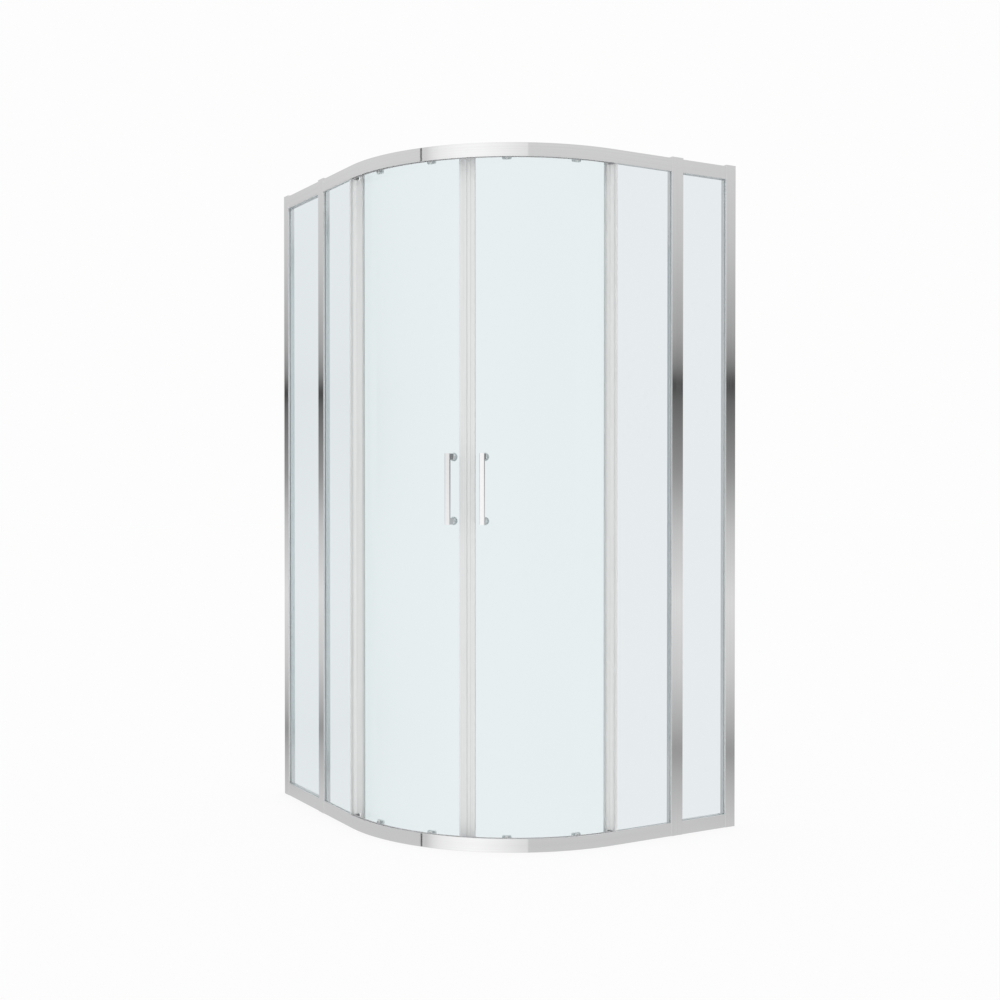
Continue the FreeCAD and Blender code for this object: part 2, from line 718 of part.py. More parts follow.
def extension_rail(label, side, up):
    """Straight rail of an extension panel: a glazing channel and, behind it, a tube over the brackets."""
    body = new_body(label + "_body")
    w, h = S.rail_wall, S.rail_height
    back = POST_BACK
    section = [
        (0, 0), (0, h), (w, h), (w, w), (CHANNEL_BACK, w), (CHANNEL_BACK, h), (back, h), (back, 0),
    ]
    tube = [(WEB_BACK, w), (WEB_BACK, h - w), (back - w, h - w), (back - w, w)]
    start, length = JOIN_FAR + S.butt, end_near(side) - JOIN_FAR - S.butt * 2
    if side == RIGHT:
        profile = new_sketch(body, "YZ", start)
    else:
        profile = new_sketch(body, "XZ", -(start + length))
    for outline in (section, tube):
        polygon(profile, [(depth, as_size(drop) * -up) for depth, drop in outline])
    pad(body, profile, length)
    round_rail_face(body, up)
    at_corner(body, S.frame_height if up > 0 else 0)
    spots = [(JOIN_FAR, 1), (end_near(side), -1)]
    screw_bore, driver_hole = (radius + S.screw_play for radius in (S.screw_radius, S.screw_head_radius))
    tools = doc.addObject("Part::Compound", label + "_drills")
    tools.Links = [
        rail_drills(side, up, spots, screw_bore, 0),
        rail_drills(side, up, spots, driver_hole, S.rail_height),
    ]
    export(cut(label + "_drilled", body, tools), label)


# Fixed panes, gaskets, overlap seals, draught blocks and end stops


def panes(side):
    insert, inset, top = S.glass_insert, S.pane_inset, S.frame_height
    depth = (PANE_FRONT, PANE_BACK)
    height = (inset, top - inset)
    near, far = JOIN_FAR - insert, end_near(side) + insert
    free = S.corner_radius + S.pane_free_edge
    post = JOIN_NEAR + insert
    export(panel_box(f"extension_pane_{side}", side, (near, far), depth, height), f"extension_glass_{side}")
    export(panel_box(f"fixed_pane_{side}", side, (free, post), depth, height), f"fixed_glass_{side}")

    rim, show, seat = S.gasket_rim, S.gasket_show, S.seat
    band = (CHANNEL_FRONT + seat, CHANNEL_BACK - seat)
    tall = (inset - rim, top - inset + rim)
    window = (S.rail_height + show, top - S.rail_height - show)
    slot_depth = (PANE_FRONT - seat, PANE_BACK + seat)
    slot_height = (inset - seat, top - inset + seat)
    deep = (POST_FRONT, POST_BACK)

    block = panel_box("gasket_block", side, (near - rim, far + rim), band, tall)
    opening = panel_box("gasket_window", side, (JOIN_FAR + show, end_near(side) - show), deep, window)
    slot = panel_box("gasket_slot", side, (near - seat, far + seat), slot_depth, slot_height)
    framed = cut("gasket_frame", block, opening)
    export(cut(f"extension_gasket_frame_{side}", framed, slot), f"extension_gasket_{side}")

    start = free + S.seal_grip + show
    block = panel_box("gasket_block", side, (start, post + rim), band, tall)
    opening = panel_box("gasket_window", side, (start - show, JOIN_NEAR - show), deep, window)
    slot = panel_box("gasket_slot", side, (start - show, post + seat), slot_depth, slot_height)
    framed = cut("gasket_frame", block, opening)
    export(cut(f"fixed_gasket_frame_{side}", framed, slot), f"fixed_gasket_{side}")


FIN_START = S.rail_height + S.block_drop + S.fin_clear
FIN_LENGTH = S.frame_height - FIN_START * 2
DOOR_HEIGHT = S.frame_height - S.door_edge * 2


def fixed_seal(side):
    """Clip on the free edge of a fixed pane, with a fin towards the door between the draught blocks."""
    body = new_body(f"fixed_seal_{side}")
    edge = S.corner_radius + S.pane_free_edge
    gap, w, grip = S.seal_gap, S.seal_wall, S.seal_grip
    front, back = PANE_FRONT - gap, PANE_BACK + gap
    nose = edge - gap
    tip = edge - S.fin_run
    clip = [
        (edge + grip, front), (nose, front), (nose, back), (edge + grip, back), (edge + grip, back + w),
        (nose - w, back + w), (nose - w, front - w), (edge + grip, front - w),
    ]
    fin = [(nose - w, back + w), (nose, back + w), (tip + w, S.fin_split), (tip, S.fin_split)]
    sketch = new_sketch(body, "XY", S.pane_inset)
    polygon(sketch, [flat(side, *point) for point in clip])
    pad(body, sketch, S.frame_height - S.pane_inset * 2)
    sketch = new_sketch(body, "XY", FIN_START)
    polygon(sketch, [flat(side, *point) for point in fin])
    pad(body, sketch, FIN_LENGTH)
    export(at_corner(body), f"fixed_seal_{side}")


def draught_blocks():
    """Block at each end of the fixed seals, under the ledge and against the web of a track."""
    blocks = []
    for side in SIDES:
        along = (S.corner_radius, S.corner_radius + S.block_width)
        depth = (WEB_BACK, WEB_BACK + S.block_depth)
        far = S.rail_height + S.block_drop
        for z in ((S.frame_height - far, S.frame_height - LEDGE_UNDER), (LEDGE_UNDER, far)):
            blocks.append(panel_box("draught_block", side, along, depth, z))
    group = doc.addObject("Part::Compound", "draught_block_set")
    group.Links = blocks
    export(group, "draught_blocks")


def track_stops():
    """Rubber stop on the ledge of each lane, behind the fixed panes."""
    blocks = []
    for side in SIDES:
        end = JOIN_NEAR - S.stop_place
        along = (end - S.stop_length, end)
        depth = (WEB_BACK, WEB_BACK + S.stop_width)
        near, far = S.ledge_drop - S.stop_height, S.ledge_drop
        for z in ((S.frame_height - far, S.frame_height - near), (near, far)):
            blocks.append(panel_box("track_stop", side, along, depth, z))
    group = doc.addObject("Part::Compound", "track_stop_set")
    group.Links = blocks
    export(group, "track_stops")


# Doors


def radial_rod(radius, depth_from, depth_to):
    """Rod along the inward axis of a local frame, at height zero."""
    body = new_body("radial_rod")
    sketch = new_sketch(body, "YZ", reach(depth_from))
    circle(sketch, 0, 0, radius)
    pad(body, sketch, as_size(depth_to) - depth_from)
    return body


def roller_angles():
    return (S.roller_lead_angle, S.roller_trail_angle)


def handle_bolt_heights():
    half = (S.handle_length - S.handle_leg) * 0.5
    return (S.handle_height - half, S.handle_height + half)


def door_glass(side):
    """Curved pane with its clamp-screw and handle holes."""
    body = new_body(f"door_pane_{side}")
    sketch = new_sketch(body, "XZ")
    rectangle(sketch, reach(S.door_inset), reach(DOOR_BACK), S.door_edge, S.frame_height - S.door_edge)
    roles = {feature.Role: feature for feature in body.Origin.OriginFeatures}
    revolve(body, sketch, (roles["Z_Axis"], [""]), S.door_span_angle)
    first = S.door_lead_angle if side == RIGHT else S.door_lead_angle + S.door_span_angle
    at_centre(body, turn_of(side, first))
    clearance = S.glass_thickness
    clamp = radial_rod(S.clamp_hole, S.door_inset - clearance, DOOR_BACK + clearance)
    bolt = radial_rod(S.handle_hole, S.door_inset - clearance, DOOR_BACK + clearance)
    placed = []
    for angle in roller_angles():
        for height in (S.clamp_drop, S.frame_height - S.clamp_drop):
            placed.append((clamp, lambda item, a=angle, z=height: at_centre(item, turn_of(side, a), z)))
    for height in handle_bolt_heights():
        placed.append((bolt, lambda item, z=height: at_centre(item, turn_of(side, S.handle_angle), z)))
    holes = copies("door_holes", placed)
    export(cut(f"door_glass_{side}_drilled", body, holes), f"door_glass_{side}")


def door_seals(side):
    """Magnetic seal on the leading edge and finned seal on the trailing edge."""
    gap, w, grip = S.seal_gap, S.seal_wall, S.magnet_grip
    front, back = S.door_inset - gap * 2, DOOR_BACK + gap * 2
    middle = (S.door_inset + DOOR_BACK) * 0.5

    # The glass edge is at zero of the local y axis; the chamber reaches to the middle of the curve
    body = new_body(f"magnetic_seal_{side}")
    chamber = (S.corner_radius - middle) * S.door_lead_angle * 0.017453292519943295
    face = S.meeting_gap * 0.5 - chamber
    half = S.magnet_depth * 0.5
    outline = [
        (face, middle - half), (-gap - w, middle - half), (-gap - w, front - w), (grip, front - w),
        (grip, front), (-gap, front), (-gap, back), (grip, back), (grip, back + w), (-gap - w, back + w),
        (-gap - w, middle + half), (face, middle + half),
    ]
    inside = [
        (face + w, middle - half + w), (-gap - w * 2, middle - half + w),
        (-gap - w * 2, middle + half - w), (face + w, middle + half - w),
    ]
    sketch = new_sketch(body, "XY")
    polygon(sketch, [(reach(d), outward(side, t)) for t, d in outline])
    polygon(sketch, [(reach(d), outward(side, t)) for t, d in inside])
    pad(body, sketch, DOOR_HEIGHT)
    turn = turn_of(side, S.door_lead_angle)
    export(at_centre(body, turn, S.door_edge), f"magnetic_seal_{side}")

    strip = new_body(f"magnet_strip_{side}")
    p = S.magnet_play * 0.5
    sketch = new_sketch(strip, "XY")
    near, far = outward(side, face + w + p), outward(side, -gap - w * 2 - p)
    rectangle(sketch, reach(middle - half + w + p), reach(middle + half - w - p), near, far)
    pad(strip, sketch, DOOR_HEIGHT)
    export(at_centre(strip, turn, S.door_edge), f"magnet_strip_{side}")

    trailing = new_body(f"edge_seal_{side}")
    nose, tip, grip = gap, S.fin_split + S.fin_gap, S.edge_grip
    clip = [
        (-grip, front), (nose, front), (nose, back), (-grip, back), (-grip, back + w), (nose + w, back + w),
        (nose + w, front - w), (-grip, front - w),
    ]
    fin = [(nose, front - w), (nose + w, front - w), (nose + w * 2, tip), (nose + w, tip)]
    sketch = new_sketch(trailing, "XY", S.door_edge)
    polygon(sketch, [(reach(d), outward(side, t)) for t, d in clip])
    pad(trailing, sketch, DOOR_HEIGHT)
    sketch = new_sketch(trailing, "XY", FIN_START)
    polygon(sketch, [(reach(d), outward(side, t)) for t, d in fin])
    pad(trailing, sketch, FIN_LENGTH)
    export(at_centre(trailing, turn_of(side, S.door_lead_angle + S.door_span_angle)), f"edge_seal_{side}")


def handle(side):
    """Square C-shaped handle, its washers, and its bolts with inside caps."""
    turn = turn_of(side, S.handle_angle)
    foot = S.door_inset - S.handle_washer
    front = S.door_inset - S.handle_reach
    bar_back = front + S.handle_bar
    half, leg = S.handle_length * 0.5, S.handle_leg
    body = new_body(f"handle_{side}")
    sketch = new_sketch(body, "XZ")
    polygon(sketch, [
        (reach(front), -half), (reach(foot), -half), (reach(foot), leg - half), (reach(bar_back), leg - half),
        (reach(bar_back), half - leg), (reach(foot), half - leg), (reach(foot), half), (reach(front), half),
    ])
    pad(body, sketch, S.handle_width, midplane=True)
    bolts = new_sketch(body, "YZ", reach(foot))
    for end in (-1, 1):
        circle(bolts, 0, (half - leg * 0.5) * end, S.handle_bolt + S.axle_clearance)
    tapped = body.newObject("PartDesign::Pocket", "tapped")
    tapped.Profile = bolts
    tapped.setExpression("Length", (S.handle_bolt_grip + S.handle_bolt).text)
    x_foot = reach(foot).value
    side_y = S.handle_width.value * 0.5

    def long_edge(edge):
        if edge.Length < leg.value or edge.Curve.TypeId != "Part::GeomLine":
            return False
        spots = [v.Point for v in edge.Vertexes]
        on_side = all(abs(abs(p.y) - side_y) < 0.01 for p in spots)
        return on_side and not all(abs(p.x - x_foot) < 0.01 for p in spots)

    fillet(body, S.handle_edge, long_edge)
    export(at_centre(body, turn, S.handle_height), f"handle_{side}")

    pad_body = new_body("handle_pad")
    sketch = new_sketch(pad_body, "YZ", reach(foot))
    rectangle(sketch, S.handle_width * -0.5, S.handle_width * 0.5, leg * -0.5, leg * 0.5)
    circle(sketch, 0, 0, S.handle_hole)
    pad(pad_body, sketch, S.handle_washer)
    ring = new_body("handle_ring")
    sketch = new_sketch(ring, "YZ", reach(DOOR_BACK + S.seal_gap))
    circle(sketch, 0, 0, S.handle_cap_radius)
    circle(sketch, 0, 0, S.handle_hole)
    pad(ring, sketch, S.handle_washer)
    heights = handle_bolt_heights()
    placed = []
    for piece in (pad_body, ring):
        for height in heights:
            placed.append((piece, lambda item, z=height: at_centre(item, turn, z)))
    export(copies(f"handle_washer_set_{side}", placed), f"handle_washers_{side}")

    bolt = new_body("handle_bolt_body")
    cap_at = DOOR_BACK + S.seal_gap + S.handle_washer
    cap_end = cap_at + S.handle_cap
    sketch = new_sketch(bolt, "XZ")
    polygon(sketch, [
        (reach(foot - S.handle_bolt_grip), 0), (reach(cap_end), 0),
        (reach(cap_end), S.handle_cap_radius * 0.8),
        (reach(cap_end - S.handle_cap * 0.15), S.handle_cap_radius), (reach(cap_at), S.handle_cap_radius),
        (reach(cap_at), S.handle_bolt), (reach(foot - S.handle_bolt_grip), S.handle_bolt),
    ])
    revolve(bolt, sketch, (sketch, ["H_Axis"]))
    placed = [(bolt, lambda item, z=z: at_centre(item, turn, z)) for z in heights]
    export(copies(f"handle_bolt_set_{side}", placed), f"handle_bolts_{side}")


def carrier_master(up):
    """Roller carrier on the inside of the door glass."""
    body = new_body("carrier_master")
    near = reach(DOOR_BACK + S.carrier_seat)
    plate = new_sketch(body, "YZ", near)
    half = S.carrier_width * 0.5
    rectangle(plate, -half, half, S.carrier_end * -up, S.carrier_start * -up)
    pad(body, plate, S.carrier_depth)
    holes = new_sketch(body, "YZ", near)
    circle(holes, 0, AXLE_DROP * -up, S.axle_radius + S.axle_clearance)
    circle(holes, 0, S.clamp_drop * -up, S.clamp_radius + S.axle_clearance)
    bore_through(body, holes)

    def corner(edge):
        if edge.Curve.TypeId != "Part::GeomLine":
            return False
        on_side = all(abs(abs(v.Point.y) - half.value) < 0.01 for v in edge.Vertexes)
        return on_side and abs(edge.tangentAt(0).x) > 0.9

    fillet(body, S.carrier_edge, corner)
    return body


def axle_master(up):
    """Stepped axle from its riveted head through the wheel to the carrier."""
    body = new_body("axle_master")
    sketch = new_sketch(body, "XZ", 0, AXLE_DROP * -up)
    play = S.axle_clearance * 2
    head_end = S.wheel_inset - play
    shoulder = S.wheel_inset + S.wheel_width + play
    seat = DOOR_BACK + S.carrier_seat
    end = seat + S.carrier_depth
    polygon(sketch, [
        (reach(head_end - S.axle_head), 0), (reach(end), 0), (reach(end), S.axle_radius),
        (reach(seat), S.axle_radius), (reach(seat), S.shank_radius),
        (reach(shoulder), S.shank_radius), (reach(shoulder), S.axle_radius),
        (reach(head_end), S.axle_radius), (reach(head_end), S.axle_head_radius),
        (reach(head_end - S.axle_head), S.axle_head_radius),
    ])
    revolve(body, sketch, (sketch, ["H_Axis"]))
    return body


def clamp_master(up):
    """Screw that clamps a carrier to the glass."""
    body = new_body("clamp_master")
    sketch = new_sketch(body, "XZ", 0, S.clamp_drop * -up)
    under = S.door_inset - S.seal_gap
    end = DOOR_BACK + S.carrier_seat + S.carrier_depth
    polygon(sketch, [
        (reach(under - S.clamp_head), 0), (reach(end), 0), (reach(end), S.clamp_radius),
        (reach(under), S.clamp_radius), (reach(under), S.clamp_head_radius),
        (reach(under - S.clamp_head * 0.6), S.clamp_head_radius),
        (reach(under - S.clamp_head), S.clamp_head_radius * 0.7),
    ])
    revolve(body, sketch, (sketch, ["H_Axis"]))
    return body


def wheel(label, side, angle, up):
    """Roller wheel on its axle."""
    body = new_body(label + "_body")
    sketch = new_sketch(body, "XZ", 0, AXLE_DROP * -up)
    near, far = reach(S.wheel_inset), reach(S.wheel_inset + S.wheel_width)
    bore, rim, bevel = S.axle_radius + S.axle_clearance, S.wheel_radius, S.wheel_edge
    hub, tyre, dish = bore + S.wheel_ring, rim - S.wheel_ring, S.wheel_dish
    polygon(sketch, [
        (near, bore), (far, bore), (far, hub), (far - dish, hub), (far - dish, tyre), (far, tyre),
        (far, rim - bevel), (far - bevel, rim), (near + bevel, rim), (near, rim - bevel),
        (near, tyre), (near + dish, tyre), (near + dish, hub), (near, hub),
    ])
    revolve(body, sketch, (sketch, ["H_Axis"]))
    at_centre(body, turn_of(side, angle), S.frame_height if up > 0 else 0)
    export(body, label)


def rollers():
    level = {1: S.frame_height, -1: as_size(0)}
    kinds = (
        ("roller_carriers", carrier_master),
        ("roller_axles", axle_master),
        ("clamp_screws", clamp_master),
    )
    for name, make in kinds:
        masters = {up: make(up) for up in (1, -1)}
        for side in SIDES:
            placed = []
            for up in (1, -1):
                for angle in roller_angles():
                    placed.append((masters[up], lambda item, a=angle, u=up, s=side:
                                   at_centre(item, turn_of(s, a), level[u])))
            export(copies(f"{name}_set_{side}", placed), f"{name}_{side}")
    for side in SIDES:
        for up, level_name in ((1, "top"), (-1, "bottom")):
            for angle, end in zip(roller_angles(), ("lead", "trail")):
                wheel(f"wheel_{level_name}_{end}_{side}", side, angle, up)


for side in SIDES:
    wall_channel(side)
    end_post(side)
    joining_post(side)
    post_cap(f"joining_cap_{side}", side, JOIN_NEAR, JOIN_FAR, JOIN_FAR)
    post_cap(f"end_cap_{side}", side, end_near(side), wall(side) - S.wall_gap, wall(side) - S.wall_gap)
    extension_rail(f"extension_top_rail_{side}", side, 1)
    extension_rail(f"extension_bottom_rail_{side}", side, -1)
    panes(side)
    fixed_seal(side)
    door_glass(side)
    door_seals(side)
    handle(side)
track("top_track", 1)
track("bottom_track", -1)
draught_blocks()
track_stops()
brackets()
post_screws()
rollers()

doc.recompute()
problems = []
for item in doc.Objects:
    if "Invalid" in item.State or "Error" in item.State:
        problems.append(f"{item.Name} {item.Label}: {item.State}")
for item in exported:
    if item.Shape.isNull() or not item.Shape.isValid() or not item.Shape.Solids:
        problems.append(f"{item.Label}: no valid solid")
if problems:
    raise RuntimeError("; ".join(problems))

os.makedirs("parts", exist_ok=True)
for item in exported:
    item.Shape.exportStep(f"parts/{item.Label}.step")
    bounds = item.Shape.BoundBox
    print(item.Label, len(item.Shape.Solids), round(item.Shape.Volume), bounds)
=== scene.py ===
"""Looks of the corner shower enclosure: finishes, fine pieces and the studio."""

import json
import logging
import math
from dataclasses import dataclass, field
from enum import Enum
from typing import Any, Callable, ClassVar, Iterable

import bpy
from mathutils import Matrix, Vector


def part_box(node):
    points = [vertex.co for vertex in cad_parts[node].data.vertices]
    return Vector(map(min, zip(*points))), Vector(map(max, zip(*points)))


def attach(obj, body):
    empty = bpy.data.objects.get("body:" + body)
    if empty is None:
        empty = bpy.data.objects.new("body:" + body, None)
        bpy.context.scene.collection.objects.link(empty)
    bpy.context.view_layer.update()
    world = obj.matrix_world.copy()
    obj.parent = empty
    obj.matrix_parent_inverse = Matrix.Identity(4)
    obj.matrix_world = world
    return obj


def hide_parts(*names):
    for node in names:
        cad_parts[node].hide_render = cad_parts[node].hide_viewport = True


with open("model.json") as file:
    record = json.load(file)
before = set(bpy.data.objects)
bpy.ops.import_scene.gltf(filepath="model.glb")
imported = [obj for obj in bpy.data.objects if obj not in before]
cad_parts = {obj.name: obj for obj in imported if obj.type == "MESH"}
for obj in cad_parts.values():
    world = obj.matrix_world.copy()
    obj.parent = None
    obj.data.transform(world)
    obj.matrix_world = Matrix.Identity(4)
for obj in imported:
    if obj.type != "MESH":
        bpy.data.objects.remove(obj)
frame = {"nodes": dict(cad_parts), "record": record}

Material = bpy.types.Material
Node = bpy.types.Node
Piece = bpy.types.Object
Socket = bpy.types.NodeSocket
Tree = bpy.types.NodeTree

LOG = logging.getLogger("shower_enclosure")
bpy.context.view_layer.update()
SIDES = ("left", "right")
WHITE = (1.0, 1.0, 1.0, 1.0)
QUARTER = math.radians(90.0)
# Part of a normal along an axis: of a face that looks that way, and of a flat face between rounded edges
FACING, SQUARE = 0.9, 0.99
# Share of a length, past which an edge lies at its end
NEAR_END = 0.99


class Grain(Enum):
    """Direction in which a drawn or moulded surface carries its fine lines."""

    UPRIGHT = (260.0, 260.0, 1.2)
    LEVEL = (1.2, 1.2, 260.0)
    EVEN = (140.0, 140.0, 140.0)

    def stretch(self) -> dict[str, float]:
        """Inputs that the fine lines take for this direction."""
        return {f"Stretch {axis}": value for axis, value in zip("XYZ", self.value)}


class Mix(Enum):
    """What a mix node mixes: Blender's name of it, the first of its two inputs and its output."""

    NUMBERS = ("FLOAT", 2, 0)
    COLOURS = ("RGBA", 6, 2)


class NodeBoard:
    """Adds and links the nodes of one tree."""

    def __init__(self, tree: Tree) -> None:
        """Empty the tree of a material, a world or a group."""
        self.tree = tree
        tree.nodes.clear()

    def add(self, kind: str, values: dict[Any, Any] | None = None, **settings: Any) -> Node:
        """Add one node.

        Args:
            kind: Blender's node type name.
            values: input socket, by name or number, to its plain value or to the output that feeds it.
            settings: properties of the node itself.

        Returns:
            The new node.
        """
        node = self.tree.nodes.new(kind)
        for name, value in settings.items():
            setattr(node, name, value)
        for socket, value in (values or {}).items():
            if isinstance(value, Socket):
                self.tree.links.new(value, node.inputs[socket])
            else:
                node.inputs[socket].default_value = value
        return node

    def place(self) -> Socket:
        """Place on the piece itself."""
        return self.add("ShaderNodeTexCoord").outputs["Object"]

    def group(self, tree: Tree, values: dict[str, float]) -> Node:
        """Place a shared group with its own values."""
        return self.add("ShaderNodeGroup", values, node_tree=tree)

    def math(self, operation: str, first: Any, second: Any = 0.0) -> Socket:
        """One arithmetic step on two values or outputs."""
        return self.add("ShaderNodeMath", {0: first, 1: second}, operation=operation).outputs[0]

    def vector(self, operation: str, *values: Any) -> Node:
        """One vector step on values or outputs."""
        return self.add("ShaderNodeVectorMath", dict(enumerate(values)), operation=operation)

    def split(self, vector: Socket) -> Node:
        """Parts of a vector along the axes."""
        return self.add("ShaderNodeSeparateXYZ", {0: vector})

    def noise(self, place: Socket, scale: Any, detail: float) -> Socket:
        """Cloudy noise from 0 to 1."""
        values = {"Vector": place, "Scale": scale, "Detail": detail}
        return self.add("ShaderNodeTexNoise", values).outputs["Fac"]

    def spread(self, value: Socket, low: float, high: float) -> Socket:
        """Spread the range from low to high to the range from 0 to 1."""
        node = self.add("ShaderNodeMapRange", {"Value": value, "From Min": low, "From Max": high})
        return node.outputs["Result"]

    def weighed(self, first: Socket, second: Socket, share: float) -> Socket:
        """Sum of two values: the share of the first and the rest of the second."""
        rest = self.math("MULTIPLY", second, 1.0 - share)
        return self.math("ADD", self.math("MULTIPLY", first, share), rest)

    def mix(self, kind: Mix, factor: Socket, first: Any, second: Any) -> Socket:
        """Mix two numbers or two colours.

        Args:
            kind: what is mixed.
            factor: output with the share of the second.
            first: value or output.
            second: value or output.

        Returns:
            The result's output.
        """
        data_type, socket, output = kind.value
        values = {"Factor": factor, socket: first, socket + 1: second}
        return self.add("ShaderNodeMix", values, data_type=data_type).outputs[output]

    def blend(self, factor: Socket, first: Node, second: Node) -> Node:
        """Mix two shaders, by the share of the second."""
        return self.add("ShaderNodeMixShader", {0: factor, 1: first.outputs[0], 2: second.outputs[0]})

    def graded(self, value: Socket, reach: float, stops: Iterable[tuple[float, float]]) -> Socket:
        """Grey ramp over a value that runs from -reach to reach.

        Args:
            value: output that drives the ramp.
            reach: largest value.
            stops: value and grey level of each stop.

        Returns:
            The level's output.
        """
        node = self.add("ShaderNodeValToRGB", {"Fac": self.spread(value, -reach, reach)})
        elements = node.color_ramp.elements
        levels = sorted(((spot + reach) / (2 * reach), level) for spot, level in stops)
        while len(elements) < len(levels):
            elements.new(1.0)
        for element, (position, level) in zip(elements, levels):
            element.position = position
            element.color = (level, level, level, 1.0)
        return node.outputs["Color"]


def new_group(name: str, inputs: dict[str, float], *outputs: str) -> tuple[NodeBoard, Node]:
    """Make a shader node group that takes and gives numbers.

    Args:
        name: name of the group.
        inputs: name and default of each number that it takes.
        outputs: name of each number that it gives.

    Returns:
        The board of the group and its input node.
    """
    tree = bpy.data.node_groups.new(name, "ShaderNodeTree")
    for label, value in inputs.items():
        socket = tree.interface.new_socket(name=label, in_out="INPUT", socket_type="NodeSocketFloat")
        socket.default_value = value
    for label in outputs:
        tree.interface.new_socket(name=label, in_out="OUTPUT", socket_type="NodeSocketFloat")
    board = NodeBoard(tree)
    return board, board.add("NodeGroupInput")


class SurfaceEffects:
    """Shader groups that several finishes share."""

    COARSE_SHARE: float = 0.65
    FINE_SCALE: float = 5.0
    LINE_RANGE: tuple[float, float] = (0.36, 0.64)
    DROP_RANGE: tuple[float, float] = (0.30, 0.12)
    CLOUD_SCALE: float = 2.6
    CLOUD_RANGE: tuple[float, float] = (0.45, 0.70)

    def __init__(self) -> None:
        """Build every group once."""
        self.lines = self.fine_lines()
        self.film = self.dried_film()
        self.wave = self.slow_wave()

    def fine_lines(self) -> Tree:
        """Fine parallel lines, as dies and moulds leave them.

        Returns:
            Group with the inputs Stretch X, Y and Z and the outputs Mask and Height.
        """
        board, taken = new_group("fine_lines", Grain.EVEN.stretch(), "Mask", "Height")
        by_axis = {axis: taken.outputs[f"Stretch {axis}"] for axis in "XYZ"}
        stretch = board.add("ShaderNodeCombineXYZ", by_axis).outputs[0]
        spread = board.vector("MULTIPLY", board.place(), stretch).outputs[0]
        coarse = board.noise(spread, 1.0, detail=3.0)
        fine = board.noise(spread, self.FINE_SCALE, detail=2.0)
        height = board.weighed(coarse, fine, self.COARSE_SHARE)
        board.add("NodeGroupOutput", {"Mask": board.spread(height, *self.LINE_RANGE), "Height": height})
        return board.tree

    def dried_film(self) -> Tree:
        """Faint dried drops and wiping marks on smooth faces.

        Returns:
            Group with the input Size and the output Mask.
        """
        board, taken = new_group("dried_film", {"Size": 60.0}, "Mask")
        place = board.place()
        values = {"Vector": place, "Scale": taken.outputs["Size"]}
        drops = board.add("ShaderNodeTexVoronoi", values, feature="SMOOTH_F1").outputs["Distance"]
        spots = board.spread(drops, *self.DROP_RANGE)
        patch = board.spread(board.noise(place, self.CLOUD_SCALE, detail=4.0), *self.CLOUD_RANGE)
        board.add("NodeGroupOutput", {"Mask": board.math("MULTIPLY", spots, patch)})
        return board.tree

    def slow_wave(self) -> Tree:
        """Long shallow waves, as in toughened glass.

        Returns:
            Group with the input Size and the output Height.
        """
        board, taken = new_group("slow_wave", {"Size": 3.0}, "Height")
        waves = board.noise(board.place(), taken.outputs["Size"], detail=1.0)
        board.add("NodeGroupOutput", {"Height": waves})
        return board.tree


@dataclass(frozen=True)
class Finish:
    """Opaque moulded finish: two tones and two roughness levels, which its fine lines vary between."""

    name: str
    light: tuple[float, float, float]
    dark: tuple[float, float, float]
    smooth: float
    rough: float
    grain: Grain = Grain.EVEN
    bump: float = 0.02
    RELIEF: ClassVar[float] = 0.0004

    def build(self, effects: SurfaceEffects) -> Material:
        """Make the material.

        Args:
            effects: shared groups.

        Returns:
            The material.
        """
        material = bpy.data.materials.new(self.name)
        material.use_nodes = True
        material.diffuse_color = (*self.light, 1.0)
        board = NodeBoard(material.node_tree)
        mask, height = self.texture(board, effects)
        shader = board.add("ShaderNodeBsdfPrincipled", {
            "Base Color": self.tones(board, mask),
            "Roughness": self.sheen(board, mask),
            "Normal": self.relief(board, height),
            **self.nature(),
        })
        board.add("ShaderNodeOutputMaterial", {"Surface": shader.outputs[0], **self.filling(board)})
        return material

    def texture(self, board: NodeBoard, effects: SurfaceEffects) -> tuple[Socket, Socket]:
        """Mask from 0 to 1 and height that the surface varies by: those of its fine lines."""
        lines = board.group(effects.lines, self.grain.stretch())
        return lines.outputs["Mask"], lines.outputs["Height"]

    def nature(self) -> dict[str, Any]:
        """Plain inputs of the surface shader: its own defaults."""
        return {}

    def filling(self, board: NodeBoard) -> dict[str, Socket]:
        """Inputs of the material output for what is under the surface: none."""
        return {}

    def tones(self, board: NodeBoard, mask: Socket) -> Socket:
        """Colour between the two tones, by a mask from 0 to 1."""
        return board.mix(Mix.COLOURS, mask, (*self.light, 1.0), (*self.dark, 1.0))

    def sheen(self, board: NodeBoard, mask: Socket) -> Socket:
        """Roughness between the two levels, by a mask from 0 to 1."""
        values = {"Value": mask, "To Min": self.smooth, "To Max": self.rough}
        return board.add("ShaderNodeMapRange", values).outputs["Result"]

    def relief(self, board: NodeBoard, height: Socket) -> Socket:
        """Normal of the bumps that a height makes."""
        values = {"Strength": self.bump, "Distance": self.RELIEF, "Height": height}
        return board.add("ShaderNodeBump", values).outputs["Normal"]


@dataclass(frozen=True)
class PolishedMetal(Finish):
    """Drawn and polished metal: lines along the profile and a faint film."""

    RELIEF: ClassVar[float] = 0.00006
    FILM_SIZE: ClassVar[float] = 45.0
    LINE_SHARE: ClassVar[float] = 0.7

    def texture(self, board: NodeBoard, effects: SurfaceEffects) -> tuple[Socket, Socket]:
        """Wear by the fine lines and the film, and the height of the lines.

        Args:
            board: board of the material.
            effects: shared groups.

        Returns:
            The mask's and the height's output.
        """
        lines, height = super().texture(board, effects)
        film = board.group(effects.film, {"Size": self.FILM_SIZE}).outputs["Mask"]
        return board.weighed(lines, film, self.LINE_SHARE), height

    def nature(self) -> dict[str, Any]:
        """Bare metal."""
        return {"Metallic": 1.0}


